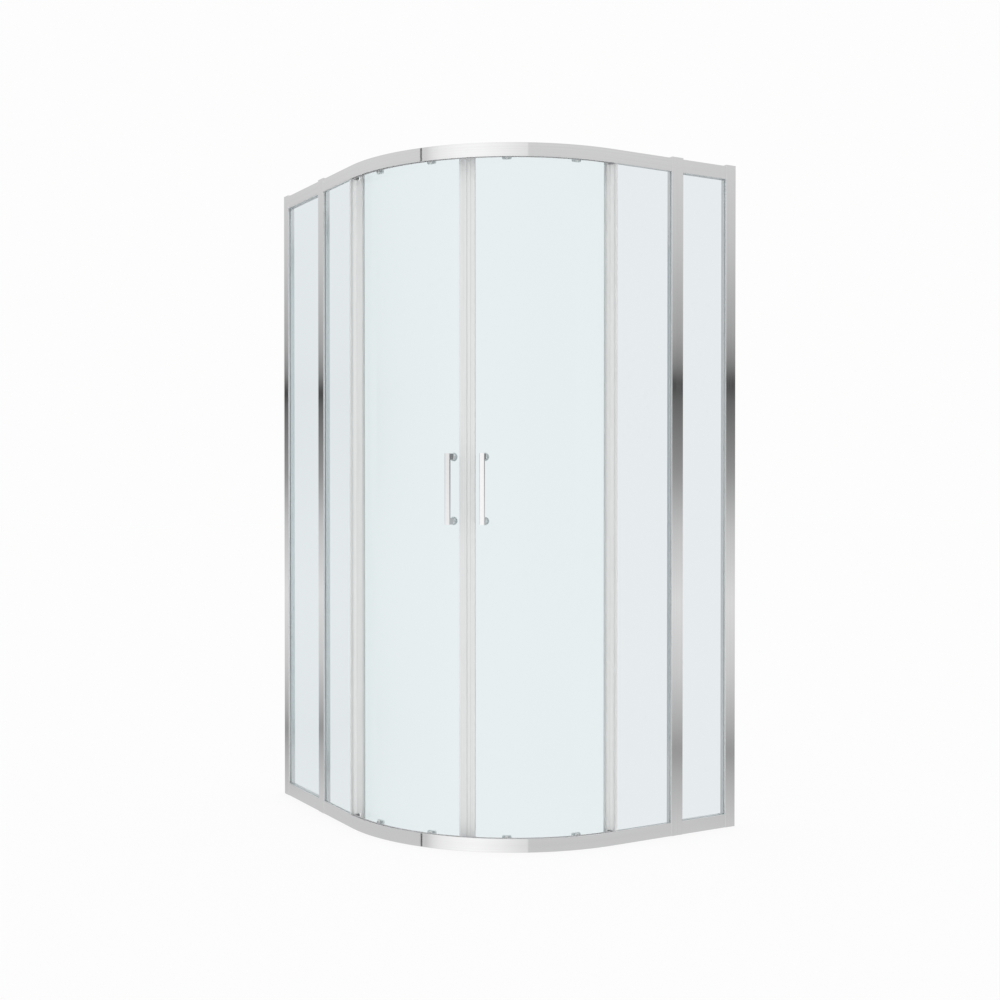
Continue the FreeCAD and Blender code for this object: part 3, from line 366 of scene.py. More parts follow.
@dataclass(frozen=True)
class PartPolishedMetal(PolishedMetal):
    """Metal that is polished where it shows most and dull elsewhere."""

    dullness: float = 0.2

    def sheen(self, board: NodeBoard, mask: Socket) -> Socket:
        """Roughness of the polish, which gives way to the dull finish elsewhere."""
        polish = super().sheen(board, mask)
        return board.mix(Mix.NUMBERS, self.dull_zone(board), polish, self.dullness)

    def dull_zone(self, board: NodeBoard) -> Socket:
        """Output that is 1 where the metal is dull."""
        raise NotImplementedError


@dataclass(frozen=True)
class PostMetal(PartPolishedMetal):
    """Metal of a post: polished towards the room, satin on the sides that take the panes."""

    side_axis: str = "Y"
    SIDE_FACING: ClassVar[float] = 0.7

    def dull_zone(self, board: NodeBoard) -> Socket:
        """Sides that take the panes, by their normal."""
        facing = board.split(board.add("ShaderNodeNewGeometry").outputs["Normal"]).outputs[self.side_axis]
        return board.math("GREATER_THAN", board.math("ABSOLUTE", facing), self.SIDE_FACING)


@dataclass(frozen=True)
class RailMetal(PartPolishedMetal):
    """Metal of a rail: polished on its face, left as drawn inside its channels."""

    FACE_DEPTH: ClassVar[float] = 0.0012

    def dull_zone(self, board: NodeBoard) -> Socket:
        """All that lies behind the face, by its distance from the middle of the curve.

        Args:
            board: board of the material.

        Returns:
            The output that is 1 behind the face.
        """
        curve = Curve()
        middle = (curve.corner.x + curve.radius, curve.corner.y + curve.radius, 0.0)
        back = board.vector("SUBTRACT", middle, board.place()).outputs[0]
        front = board.vector("MAXIMUM", back, (0.0, 0.0, 0.0)).outputs[0]
        reach = board.vector("LENGTH", front).outputs["Value"]
        return board.math("LESS_THAN", reach, curve.radius - self.FACE_DEPTH)


@dataclass(frozen=True)
class ClearGlass(Finish):
    """Toughened clear glass with a green body that shows at its edges."""

    body: tuple[float, float, float] = (0.27, 0.64, 0.59)
    density: float = 20.0
    mirror: float = 0.2
    bend: float = 1.3
    RELIEF: ClassVar[float] = 0.0006
    FILM_SIZE: ClassVar[float] = 38.0
    WAVE_SIZE: ClassVar[float] = 2.4

    def texture(self, board: NodeBoard, effects: SurfaceEffects) -> tuple[Socket, Socket]:
        """Dried film, and the height of slow waves."""
        film = board.group(effects.film, {"Size": self.FILM_SIZE}).outputs["Mask"]
        return film, board.group(effects.wave, {"Size": self.WAVE_SIZE}).outputs["Height"]

    def nature(self) -> dict[str, Any]:
        """Clear, with a weak mirror."""
        mirror = (self.mirror, self.mirror, self.mirror, 1.0)
        return {"Metallic": 0.0, "IOR": self.bend, "Transmission Weight": 1.0, "Specular Tint": mirror}

    def filling(self, board: NodeBoard) -> dict[str, Socket]:
        """Green body under the surface."""
        values = {"Color": (*self.body, 1.0), "Density": self.density}
        return {"Volume": board.add("ShaderNodeVolumeAbsorption", values).outputs[0]}


@dataclass(frozen=True)
class ClearVinyl(Finish):
    """Milky clear vinyl of the seals, with extrusion lines."""

    clearness: float = 0.4
    BEND: ClassVar[float] = 1.25

    def nature(self) -> dict[str, Any]:
        """Partly clear."""
        return {"IOR": self.BEND, "Transmission Weight": self.clearness}


POLISH = (0.90, 0.90, 0.905)
DULL = (0.85, 0.85, 0.86)


class Palette:
    """Every finish of the enclosure, each built once."""

    def __init__(self) -> None:
        """Build the shared effects and the materials."""
        effects = SurfaceEffects()
        post = (POLISH, DULL, 0.04, 0.08, Grain.UPRIGHT, 0.08)
        vinyl = (0.1, 0.2, Grain.UPRIGHT, 0.1)
        finishes = (
            PostMetal("post_metal_left", *post, dullness=0.22, side_axis="Y"),
            PostMetal("post_metal_right", *post, dullness=0.12, side_axis="X"),
            RailMetal("rail_metal", POLISH, DULL, 0.03, 0.07, Grain.LEVEL, 0.1, dullness=0.7),
            PolishedMetal("cap_chrome", POLISH, DULL, 0.05, 0.10, Grain.EVEN, 0.05),
            PolishedMetal("handle_chrome", (0.93, 0.92, 0.925), (0.88, 0.88, 0.885), 0.03, 0.08, bump=0.05),
            PolishedMetal("inner_chrome", (0.93, 0.93, 0.935), (0.87, 0.87, 0.88), 0.35, 0.5, bump=0.05),
            PolishedMetal("screw_steel", (0.72, 0.72, 0.73), (0.6, 0.6, 0.61), 0.18, 0.34, bump=0.2),
            ClearGlass("door_glass", (0.880, 0.910, 0.930), (0.865, 0.898, 0.918), 0.0, 0.03),
            ClearGlass(
                "fixed_glass", (0.843, 0.868, 0.888), (0.829, 0.856, 0.876), 0.0, 0.03, density=9.0, bend=1.08
            ),
            ClearVinyl("clear_vinyl", (0.92, 0.93, 0.93), (0.87, 0.88, 0.88), *vinyl),
            ClearVinyl("milky_vinyl", (0.90, 0.91, 0.91), (0.84, 0.85, 0.85), *vinyl, clearness=0.15),
            Finish("glazing_rubber", (0.74, 0.77, 0.77), (0.67, 0.70, 0.70), 0.45, 0.6, bump=0.3),
            Finish("block_rubber", (0.20, 0.21, 0.21), (0.15, 0.16, 0.16), 0.5, 0.65, bump=0.3),
            Finish("stop_rubber", (0.05, 0.052, 0.054), (0.03, 0.032, 0.033), 0.5, 0.7, bump=0.4),
            Finish("magnet_strip", (0.84, 0.85, 0.85), (0.78, 0.79, 0.79), 0.4, 0.55, Grain.UPRIGHT, 0.3),
            Finish("carrier_plastic", (0.80, 0.82, 0.82), (0.73, 0.75, 0.75), 0.3, 0.45, bump=0.2),
            Finish("knob_plastic", (0.70, 0.72, 0.72), (0.62, 0.64, 0.64), 0.35, 0.5, bump=0.2),
            Finish("wheel_nylon", (0.74, 0.74, 0.71), (0.66, 0.66, 0.63), 0.32, 0.45, bump=0.2),
            Finish("washer_plastic", (0.86, 0.88, 0.88), (0.79, 0.81, 0.81), 0.25, 0.4, bump=0.2),
        )
        self.materials = {finish.name: finish.build(effects) for finish in finishes}

    def dress(self, piece: Piece, name: str) -> None:
        """Give a piece one finish all over.

        Args:
            piece: new piece or loaded node.
            name: finish name.
        """
        piece.data.materials.clear()
        piece.data.materials.append(self.materials[name])
        LOG.info("%s wears %s", piece.name, name)


def clear_bench() -> None:
    """Leave edit mode and deselect everything."""
    if bpy.context.mode != "OBJECT":
        bpy.ops.object.mode_set(mode="OBJECT")
    bpy.ops.object.select_all(action="DESELECT")


class Pick(Enum):
    """What a selection is made of, as Blender's select mode."""

    EDGES = (False, True, False)
    FACES = (False, False, True)


class Workpiece:
    """A new mesh that is shaped by hand steps from the primitive just added."""

    MERGE: float = 0.00001
    SHARP: float = math.radians(32.0)

    def __init__(self, name: str) -> None:
        """Take the active primitive and settle its place in its mesh.

        Args:
            name: name of the piece.
        """
        self.piece = bpy.context.active_object
        self.piece.name = name
        bpy.ops.object.transform_apply(location=True, rotation=True, scale=True)

    def pick(self, kind: Pick, wanted: Callable[[Vector, Vector], bool]) -> "Workpiece":
        """Select faces or edges in edit mode.

        Args:
            kind: faces or edges.
            wanted: test on the middle and on the face normal or edge direction.

        Returns:
            This piece.
        """
        bpy.ops.object.mode_set(mode="OBJECT")
        mesh = self.piece.data
        for group in (mesh.vertices, mesh.edges, mesh.polygons):
            group.foreach_set("select", [False] * len(group))
        if kind is Pick.FACES:
            for face in mesh.polygons:
                face.select = wanted(face.center, face.normal)
        else:
            for edge in mesh.edges:
                first, last = (mesh.vertices[i].co for i in edge.vertices)
                edge.select = wanted((first + last) / 2, (last - first).normalized())
        bpy.context.tool_settings.mesh_select_mode = kind.value
        bpy.ops.object.mode_set(mode="EDIT")
        return self

    def inset(self, thickness: float, depth: float = 0.0) -> "Workpiece":
        """Inset the picked faces, and sink or raise what is left of them."""
        bpy.ops.mesh.inset(thickness=thickness, depth=depth, use_boundary=True)
        return self

    def extrude(self, x: float = 0.0, y: float = 0.0, z: float = 0.0) -> "Workpiece":
        """Pull the picked faces out along a vector."""
        bpy.ops.mesh.extrude_region_move(TRANSFORM_OT_translate={"value": (x, y, z)})
        return self

    def bevel(self, width: float, segments: int = 3) -> "Workpiece":
        """Round the picked edges."""
        bpy.ops.mesh.bevel(offset=width, segments=segments, affect="EDGES")
        return self

    def cut(self, tool: "Workpiece") -> "Workpiece":
        """Take the shape of another workpiece out of this one.

        Args:
            tool: cutter, which is used up.

        Returns:
            This piece.
        """
        clear_bench()
        step = self.piece.modifiers.new("cut", "BOOLEAN")
        step.operation = "DIFFERENCE"
        step.object = tool.piece
        bpy.context.view_layer.objects.active = self.piece
        bpy.ops.object.modifier_apply(modifier=step.name)
        tool.discard()
        return self

    def close(self) -> "Workpiece":
        """Merge doubles, turn the faces outwards and smooth all but the sharp edges."""
        clear_bench()
        bpy.context.view_layer.objects.active = self.piece
        self.piece.select_set(True)
        bpy.ops.object.mode_set(mode="EDIT")
        bpy.ops.mesh.select_all(action="SELECT")
        bpy.ops.mesh.remove_doubles(threshold=self.MERGE)
        bpy.ops.mesh.normals_make_consistent(inside=False)
        bpy.ops.object.mode_set(mode="OBJECT")
        bpy.ops.object.shade_smooth_by_angle(angle=self.SHARP)
        return self

    def copy_to(self, name: str, spot: Matrix) -> Piece:
        """Put a copy with its own mesh in its place.

        Args:
            name: name of the copy.
            spot: where it goes.

        Returns:
            The copy.
        """
        copy = self.piece.copy()
        copy.data = self.piece.data.copy()
        copy.name = name
        copy.data.transform(spot)
        bpy.context.scene.collection.objects.link(copy)
        return copy

    def discard(self) -> None:
        """Take the workpiece away."""
        bpy.data.objects.remove(self.piece)


def round_bar(name: str, radius: float, low: float, high: float, sides: int = 48) -> Workpiece:
    """Start from a round or many-sided bar on the upright axis.

    Args:
        name: name of the piece.
        radius: its radius.
        low: height of its lower end.
        high: height of its upper end.
        sides: number of its sides.

    Returns:
        The workpiece.
    """
    clear_bench()
    bpy.ops.mesh.primitive_cylinder_add(
        vertices=sides, radius=radius, depth=high - low, location=(0.0, 0.0, (low + high) / 2)
    )
    return Workpiece(name)


def headed_pin(
    name: str, head: tuple[float, float], shank: tuple[float, float], dome: float, sides: int, segments: int
) -> Workpiece:
    """Start from a round head with a domed top, on a thinner shank that hangs from height zero.

    Args:
        name: name of the piece.
        head: radius and height of the head.
        shank: radius and length of the shank.
        dome: rounding of the head's top edge.
        sides: number of its sides.
        segments: number of steps in the rounding.

    Returns:
        The workpiece.
    """
    pin = round_bar(name, head[0], 0.0, head[1], sides)
    pin.pick(Pick.FACES, lambda spot, way: way.z < -FACING)
    pin.inset(head[0] - shank[0]).extrude(z=-shank[1])
    return pin.pick(Pick.EDGES, lambda spot, way: spot.z > head[1] * NEAR_END).bevel(dome, segments)


def block(name: str, low: Vector, high: Vector) -> Workpiece:
    """Start from a block between two corners.

    Args:
        name: name of the piece.
        low: its lowest corner.
        high: its highest corner.

    Returns:
        The workpiece.
    """
    clear_bench()
    bpy.ops.mesh.primitive_cube_add(size=1.0, location=(low + high) / 2, scale=high - low)
    return Workpiece(name)


@dataclass
class Curve:
    """Line of the curved rails in the frame, with the places that hang on it."""

    radius: float = 0.550
    middle_turn: float = 45.0
    corner: Vector = field(default_factory=lambda: Vector(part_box("top_track")[0]))
    top: float = field(default_factory=lambda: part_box("top_track")[1][2])

    def spot(self, side: str, angle: float, depth: float, height: float) -> Matrix:
        """Local frame behind the rail face, with x inwards and z up.

        Args:
            side: left or right door.
            angle: degrees from the middle of the curve.
            depth: distance behind the rail face.
            height: height above the floor.

        Returns:
            The frame's matrix.
        """
        turn = math.radians(self.middle_turn + (angle if side == "right" else -angle))
        middle = Matrix.Translation((self.corner.x + self.radius, self.corner.y + self.radius, height))
        return middle @ Matrix.Rotation(turn, 4, "Z") @ Matrix.Translation((depth - self.radius, 0.0, 0.0))

    def flat_spot(self, side: str, along: float, depth: float, height: float) -> Matrix:
        """Local frame on a flat panel, with x inwards and z up.

        Args:
            side: left or right panel.
            along: distance along the panel from the corner of the rail faces.
            depth: distance behind the rail face.
            height: height above the floor.

        Returns:
            The frame's matrix.
        """
        reach = Vector((along, depth)) if side == "right" else Vector((depth, along))
        place = Matrix.Translation((self.corner.x + reach.x, self.corner.y + reach.y, height))
        return place @ Matrix.Rotation(QUARTER if side == "right" else 0.0, 4, "Z")


INWARDS = Matrix.Rotation(QUARTER, 4, "Y")
OUTWARDS = Matrix.Rotation(-QUARTER, 4, "Y")


@dataclass
class SubAssembly:
    """Pieces that are made and dressed together."""

    palette: Palette
    curve: Curve

    def dress(self, finishes: dict[str, str]) -> None:
        """Dress loaded nodes, by node name and finish name."""
        for node, finish in finishes.items():
            self.palette.dress(frame["nodes"][node], finish)

    def seat(self, piece: Piece, node: str, body: str, finish: str) -> None:
        """Let a new piece stand for a node, dressed and moving with its body."""
        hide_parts(node)
        self.join(piece, node, body, finish)

    def join(self, piece: Piece, node: str, body: str, finish: str) -> None:
        """Dress a new piece and let it move with a body.

        Args:
            piece: the new piece.
            node: not used.
            body: body that it moves with.
            finish: its finish.
        """
        self.palette.dress(piece, finish)
        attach(piece, body)

    def both(self, finish: str, *names: str) -> dict[str, str]:
        """One finish for the left and right nodes of each name."""
        return {f"{name}_{side}": finish for name in names for side in SIDES}


@dataclass
class Posts(SubAssembly):
    """Joining and end posts with their caps, wall channels and post screws."""

    head_radius: float = 0.0028
    head_height: float = 0.002
    shank_radius: float = 0.0015
    shank_length: float = 0.0035
    recess_reach: float = 0.0017
    recess_depth: float = 0.0011
    recess_bar: float = 0.28  # of the recess reach
    head_dome: float = 0.55  # of the head height
    screw_heights: tuple[float, ...] = (0.300, 0.973, 1.646)
    screw_from_wall: float = 0.013

    def build(self) -> None:
        """Dress the posts and make their screws."""
        self.dress(self.both("cap_chrome", "joining_cap", "end_cap"))
        screw = self.model_screw()
        for side in SIDES:
            for name in ("joining_post", "end_post", "wall_channel"):
                self.dress({f"{name}_{side}": f"post_metal_{side}"})
            back = Vector(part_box(f"end_post_{side}")[1])
            wall = Vector(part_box(f"wall_channel_{side}")[1])
            along = (wall.x - self.curve.corner.x if side == "right" else wall.y - self.curve.corner.y)
            depth = (back.y - self.curve.corner.y if side == "right" else back.x - self.curve.corner.x)
            for number, height in enumerate(self.screw_heights, start=1):
                spot = self.curve.flat_spot(side, along - self.screw_from_wall, depth, height)
                piece = screw.copy_to(f"post_screw_{side}_{number}", spot @ INWARDS)
                self.seat(piece, "post_screws", "frame", "screw_steel")
        screw.discard()

    def model_screw(self) -> Workpiece:
        """Domed pan-head screw with a cross recess, its seat at height zero.

        Returns:
            The workpiece.
        """
        head, shank = (self.head_radius, self.head_height), (self.shank_radius, self.shank_length)
        dome = self.head_height * self.head_dome
        screw = headed_pin("post_screw", head, shank, dome, sides=40, segments=5)
        thin = self.recess_reach * self.recess_bar
        low = self.head_height - self.recess_depth
        for reach in ((self.recess_reach, thin), (thin, self.recess_reach)):
            corner = Vector((*reach, self.head_height * 2))
            screw.cut(block("recess_bar", Vector((-corner.x, -corner.y, low)), corner))
        return screw.close()


@dataclass
class Rails(SubAssembly):
    """Curved tracks and straight extension rails with their brackets."""

    def build(self) -> None:
        """Dress the rails and what holds their ends."""
        self.dress({"top_track": "rail_metal", "bottom_track": "rail_metal"})
        self.dress(self.both("rail_metal", "extension_top_rail", "extension_bottom_rail"))
        self.dress({"rail_brackets": "screw_steel", "bracket_screws": "screw_steel"})


@dataclass(frozen=True)
class BlockSeat:
    """Where a small block starts and ends.

    Attributes:
        along: sideways, from the corner of the rail faces or from the trailing edge of a door.
        depth: behind the rail face.
        drop: from the outer face of the rail.
    """

    along: tuple[float, float]
    depth: tuple[float, float]
    drop: tuple[float, float]


@dataclass
class FixedPanels(SubAssembly):
    """Flat panes with their gaskets and overlap seals, draught blocks and track stops."""

    draught_seat: BlockSeat = BlockSeat((0.550, 0.562), (0.013, 0.027), (0.024, 0.0385))
    stop_seat: BlockSeat = BlockSeat((0.670, 0.686), (0.013, 0.026), (0.008, 0.022))
    rounding: float = 0.0014
    dimple: float = 0.0008
    dimple_edge: float = 1.4  # of the rounding
    dimple_slope: float = 0.6  # of the dimple

    def build(self) -> None:
        """Dress the panes and make the rubber blocks."""
        self.dress(self.both("fixed_glass", "extension_glass", "fixed_glass"))
        self.dress(self.both("glazing_rubber", "extension_gasket", "fixed_gasket"))
        self.dress(self.both("clear_vinyl", "fixed_seal"))
        for side in SIDES:
            for pane in (f"extension_glass_{side}", f"fixed_glass_{side}"):
                let_light_through(frame["nodes"][pane])
        self.make_blocks("draught_block", "block_rubber", self.draught_seat)
        self.make_blocks("track_stop", "stop_rubber", self.stop_seat)

    def make_blocks(self, name: str, finish: str, seat: BlockSeat) -> None:
        """Make one rounded block and copy it to both ends of both panels.

        Args:
            name: name of the block; its node has the same name in the plural.
            finish: its finish.
            seat: where it sits.
        """
        spans = (seat.depth, seat.along, seat.drop)
        half = Vector([high - low for low, high in spans]) / 2
        depth, along, drop = [(low + high) / 2 for low, high in spans]
        rubber = block(name, -half, half)
        rubber.pick(Pick.EDGES, lambda spot, way: True).bevel(self.rounding)
        rubber.pick(Pick.FACES, lambda spot, way: abs(way.y) > SQUARE)
        rubber.inset(self.rounding * self.dimple_edge).inset(self.dimple * self.dimple_slope, -self.dimple)
        rubber.close()
        for side in SIDES:
            for level, height in (("top", self.curve.top - drop), ("bottom", drop)):
                spot = self.curve.flat_spot(side, along, depth, height)
                self.seat(rubber.copy_to(f"{name}_{level}_{side}", spot), f"{name}s", "frame", finish)
        rubber.discard()


@dataclass
class Door(SubAssembly):
    """One curved door with its seals, handle and inside handle caps."""

    side: str
    handle_angle: float = 5.3
    bolt_heights: tuple[float, ...] = (0.909, 1.088)
    cap_depth: tuple[float, float] = (0.046, 0.060)
    cap_radius: float = 0.009
    cap_dome: float = 0.3  # of the cap radius
    ring_inset: float = 0.12  # of the cap radius
    ring_width: float = 0.05  # of the cap radius
    ring_depth: float = 0.04  # of the cap radius
    shank_radius: float = 0.0025
    shank_start: float = 0.0395
    edge_angle: float = 45.4
    tongue_seat: BlockSeat = BlockSeat((0.0002, 0.0014), (0.0305, 0.0384), (0.0245, 0.0389))
    tongue_round: float = 0.0005

    def build(self) -> None:
        """Dress the door, make its handle caps and carry its trailing seal into the rails."""
        side = self.side
        self.dress({
            f"door_glass_{side}": "door_glass",
            f"magnetic_seal_{side}": "milky_vinyl",
            f"edge_seal_{side}": "clear_vinyl",
            f"magnet_strip_{side}": "magnet_strip",
            f"handle_{side}": "handle_chrome",
            f"handle_washers_{side}": "washer_plastic",
        })
        let_light_through(frame["nodes"][f"door_glass_{side}"])
        cap = self.model_cap()
        for number, height in enumerate(self.bolt_heights, start=1):
            spot = self.curve.spot(side, self.handle_angle, self.cap_depth[0], height)
            piece = cap.copy_to(f"handle_cap_{side}_{number}", spot @ INWARDS)
            self.seat(piece, f"handle_bolts_{side}", f"door_{side}", "inner_chrome")
        cap.discard()
        self.make_tongues()

    def make_tongues(self) -> None:
        """Thin ends of the trailing seal, which pass behind the draught blocks."""
        side, (near, back), (low, high) = self.side, self.tongue_seat.depth, self.tongue_seat.drop
        ends = sorted(along if side == "left" else -along for along in self.tongue_seat.along)
        far = Vector((back - near, ends[1], high - low))
        tongue = block("seal_tongue", Vector((0.0, ends[0], 0.0)), far)
        tongue.pick(Pick.EDGES, lambda spot, way: spot.x < far.x * (1.0 - NEAR_END))
        tongue.bevel(self.tongue_round).close()
        for level, height in (("top", self.curve.top - high), ("bottom", low)):
            spot = self.curve.spot(side, self.edge_angle, near, height)
            piece = tongue.copy_to(f"seal_tongue_{level}_{side}", spot)
            self.join(piece, f"edge_seal_{side}", f"door_{side}", "clear_vinyl")
        tongue.discard()

    def model_cap(self) -> Workpiece:
        """Domed cap on the shank of its bolt, its seat at height zero.

        Returns:
            The workpiece.
        """
        height = self.cap_depth[1] - self.cap_depth[0]
        head, shank = (self.cap_radius, height), (self.shank_radius, self.cap_depth[0] - self.shank_start)
        dome = self.cap_radius * self.cap_dome
        cap = headed_pin("handle_cap", head, shank, dome, sides=64, segments=6)
        cap.pick(Pick.FACES, lambda spot, way: way.z > SQUARE and spot.z > height * NEAR_END)
        cap.inset(self.cap_radius * self.ring_inset)
        cap.inset(self.cap_radius * self.ring_width, -self.cap_radius * self.ring_depth)
        return cap.close()


@dataclass
class Rollers(SubAssembly):
    """Four rollers of one door: wheel, axle, carrier and clamp screw each."""

    side: str
    angles: tuple[tuple[str, float], ...] = (("lead", 12.5), ("trail", 35.0))
    wheel_radius: float = 0.009
    wheel_width: float = 0.006
    bore_radius: float = 0.00305
    ring: float = 0.0022
    dish: float = 0.0012
    tread: float = 0.0003
    tread_edge: float = 0.16  # of the wheel width
    tread_slope: float = 0.05  # of the wheel width
    dish_slope: float = 0.2  # of the dish
    carrier_depth: tuple[float, float] = (0.0453, 0.052)
    carrier_width: float = 0.026
    carrier_drop: tuple[float, float] = (0.0067, 0.036)
    carrier_corner: float = 0.004
    carrier_round: float = 0.16  # of the carrier's thickness
    rim_width: float = 0.3  # of the carrier's thickness
    rim_slope: float = 0.06  # of the carrier's thickness
    rim_depth: float = 0.18  # of the carrier's thickness
    clamp_drop: float = 0.0305
    clamp_seat: float = 0.0398
    clamp_end: float = 0.052
    head_radius: float = 0.0055
    head_height: float = 0.005
    shank_radius: float = 0.0025
    socket_radius: float = 0.0026
    head_dome: float = 0.3  # of the head height
    socket_depth: float = 0.5  # of the head height

    def build(self) -> None:
        """Dress the axles and make the wheels, carriers and clamp screws."""
        side, door = self.side, f"door_{self.side}"
        self.dress({f"roller_axles_{side}": "screw_steel"})
        wheel, carrier, clamp = self.model_wheel(), self.model_carrier(), self.model_clamp()
        spins = {joint["name"]: joint for joint in frame["record"]["behaviour"]["joints"]}
        for level, sign in (("top", 1.0), ("bottom", -1.0)):
            base = self.curve.top if sign > 0 else 0.0
            flip = Matrix.Diagonal((1.0, 1.0, sign, 1.0))
            for end, angle in self.angles:
                label = f"{level}_{end}_{side}"
                axle = spins[f"wheel_{label}_spin"]
                turn = Vector(axle["axis"]).to_track_quat("Z", "Y").to_matrix().to_4x4()
                piece = wheel.copy_to(f"roller_{label}", Matrix.Translation(axle["pos_m"]) @ turn)
                self.seat(piece, f"wheel_{label}", f"wheel_{label}", "wheel_nylon")
                spot = self.curve.spot(side, angle, self.carrier_depth[0], base)
                piece = carrier.copy_to(f"carrier_{label}", spot @ flip)
                if sign < 0:
                    piece.data.flip_normals()
                self.seat(piece, f"roller_carriers_{side}", door, "carrier_plastic")
                spot = self.curve.spot(side, angle, self.clamp_seat, base - sign * self.clamp_drop)
                piece = clamp.copy_to(f"clamp_screw_{label}", spot @ OUTWARDS)
                self.seat(piece, f"clamp_screws_{side}", door, "knob_plastic")
        for pattern in (wheel, carrier, clamp):
            pattern.discard()

    def model_wheel(self) -> Workpiece:
        """Dished wheel with a bore and a shallow tread, its axis upright through its middle.

        Returns:
            The workpiece.
        """
        half, slope = self.wheel_width / 2, self.dish * self.dish_slope
        wheel = round_bar("roller_wheel", self.wheel_radius, -half, half, sides=64)
        wheel.pick(Pick.FACES, lambda spot, way: abs(way.z) < 1.0 - FACING)
        wheel.inset(self.wheel_width * self.tread_edge)
        wheel.inset(self.wheel_width * self.tread_slope, -self.tread)
        web = self.wheel_radius - self.ring * 2 - self.bore_radius
        wheel.pick(Pick.FACES, lambda spot, way: abs(way.z) > FACING)
        wheel.inset(self.ring).inset(slope, -self.dish).inset(web - slope)
        wheel.inset(slope, self.dish).inset(self.ring - slope)
        bore = round_bar("bore_cutter", self.bore_radius, -self.wheel_width, self.wheel_width)
        return wheel.cut(bore).close()

    def model_carrier(self) -> Workpiece:
        """Moulded carrier with rounded corners and a rim, its near face at depth zero.

        Returns:
            The workpiece.
        """
        thick = self.carrier_depth[1] - self.carrier_depth[0]
        half = self.carrier_width / 2
        near, far = self.carrier_drop
        carrier = block("roller_carrier", Vector((0.0, -half, -far)), Vector((thick, half, -near)))
        carrier.pick(Pick.EDGES, lambda spot, way: abs(way.x) > FACING)
        carrier.bevel(self.carrier_corner, segments=6)
        carrier.pick(Pick.EDGES, lambda spot, way: spot.x > thick * NEAR_END)
        carrier.bevel(thick * self.carrier_round)
        carrier.pick(Pick.FACES, lambda spot, way: way.x > SQUARE)
        carrier.inset(thick * self.rim_width).inset(thick * self.rim_slope, -thick * self.rim_depth)
        return carrier.close()

    def model_clamp(self) -> Workpiece:
        """Clamp screw with a domed head and a six-sided socket, its seat at height zero and its head up.

        Returns:
            The workpiece.
        """
        top = self.head_height
        head, shank = (self.head_radius, top), (self.shank_radius, self.clamp_end - self.clamp_seat)
        clamp = headed_pin("clamp_screw", head, shank, top * self.head_dome, sides=48, segments=4)
        low, high = top * (1.0 - self.socket_depth), top * (1.0 + self.socket_depth)
        socket = round_bar("socket_cutter", self.socket_radius, low, high, sides=6)
        return clamp.cut(socket).close()


def let_light_through(pane: Piece) -> None:
    """Keep clear glass from shading the floor."""
    pane.visible_shadow = False
    pane.visible_diffuse = False


@dataclass(frozen=True)
class Field:
    """Upright field of the studio walls that shows only in reflections.

    Attributes:
        middle: direction of its middle, in degrees.
        reach: half of the ramp that it is laid with, in degrees.
        level: its brightness.
        cover: degrees from its middle, and how much it covers the wall there.
        tall: largest sine of the height at which it shows.
    """

    middle: float
    reach: float
    level: float
    cover: tuple[tuple[float, float], ...]
    tall: float = 1.0

    def lay(self, board: NodeBoard, way: Socket, below: Socket) -> Socket:
        """Lay this field over the walls.

        Args:
            board: board of the world.
            way: direction output.
            below: level of what it covers.

        Returns:
            The level's output.
        """
        values = {"Vector": way, "Angle": -math.radians(self.middle)}
        turned = board.add("ShaderNodeVectorRotate", values, rotation_type="Z_AXIS")
        flat = board.split(turned.outputs[0])
        around = board.math("DEGREES", board.math("ARCTAN2", flat.outputs["Y"], flat.outputs["X"]))
        within = board.math("LESS_THAN", board.math("ABSOLUTE", flat.outputs["Z"]), self.tall)
        cover = board.math("MULTIPLY", within, board.graded(around, self.reach, self.cover))
        return board.mix(Mix.NUMBERS, cover, below, self.level)


SOFT_BOX = Field(middle=-145.1, reach=36.0, level=1.03, cover=(
    (-31.0, 0.0), (-26.0, 0.45), (-21.0, 0.70), (-10.0, 0.93), (0.0, 1.0), (5.0, 0.97), (17.0, 0.78),
    (29.0, 0.50), (33.8, 0.40), (34.4, 0.0),
))
DARK_SEAM = Field(middle=-179.35, reach=3.0, level=0.03, cover=(
    (-0.75, 0.0), (-0.45, 0.9), (0.35, 0.9), (0.75, 0.0),
))
FAR_FLOOR = Field(middle=62.0, reach=40.0, level=0.80, cover=(
    (-18.0, 0.0), (-12.5, 1.0), (20.0, 1.0), (30.0, 0.0),
))
NEAR_PANEL = Field(middle=-69.0, reach=14.0, level=0.98, tall=0.205, cover=(
    (-11.0, 0.0), (-9.0, 1.0), (9.0, 1.0), (11.0, 0.0),
))
SIDE_PANEL = Field(middle=128.6, reach=6.0, level=0.66, tall=0.205, cover=(
    (-4.0, 0.0), (-2.5, 1.0), (2.5, 1.0), (4.0, 0.0),
))


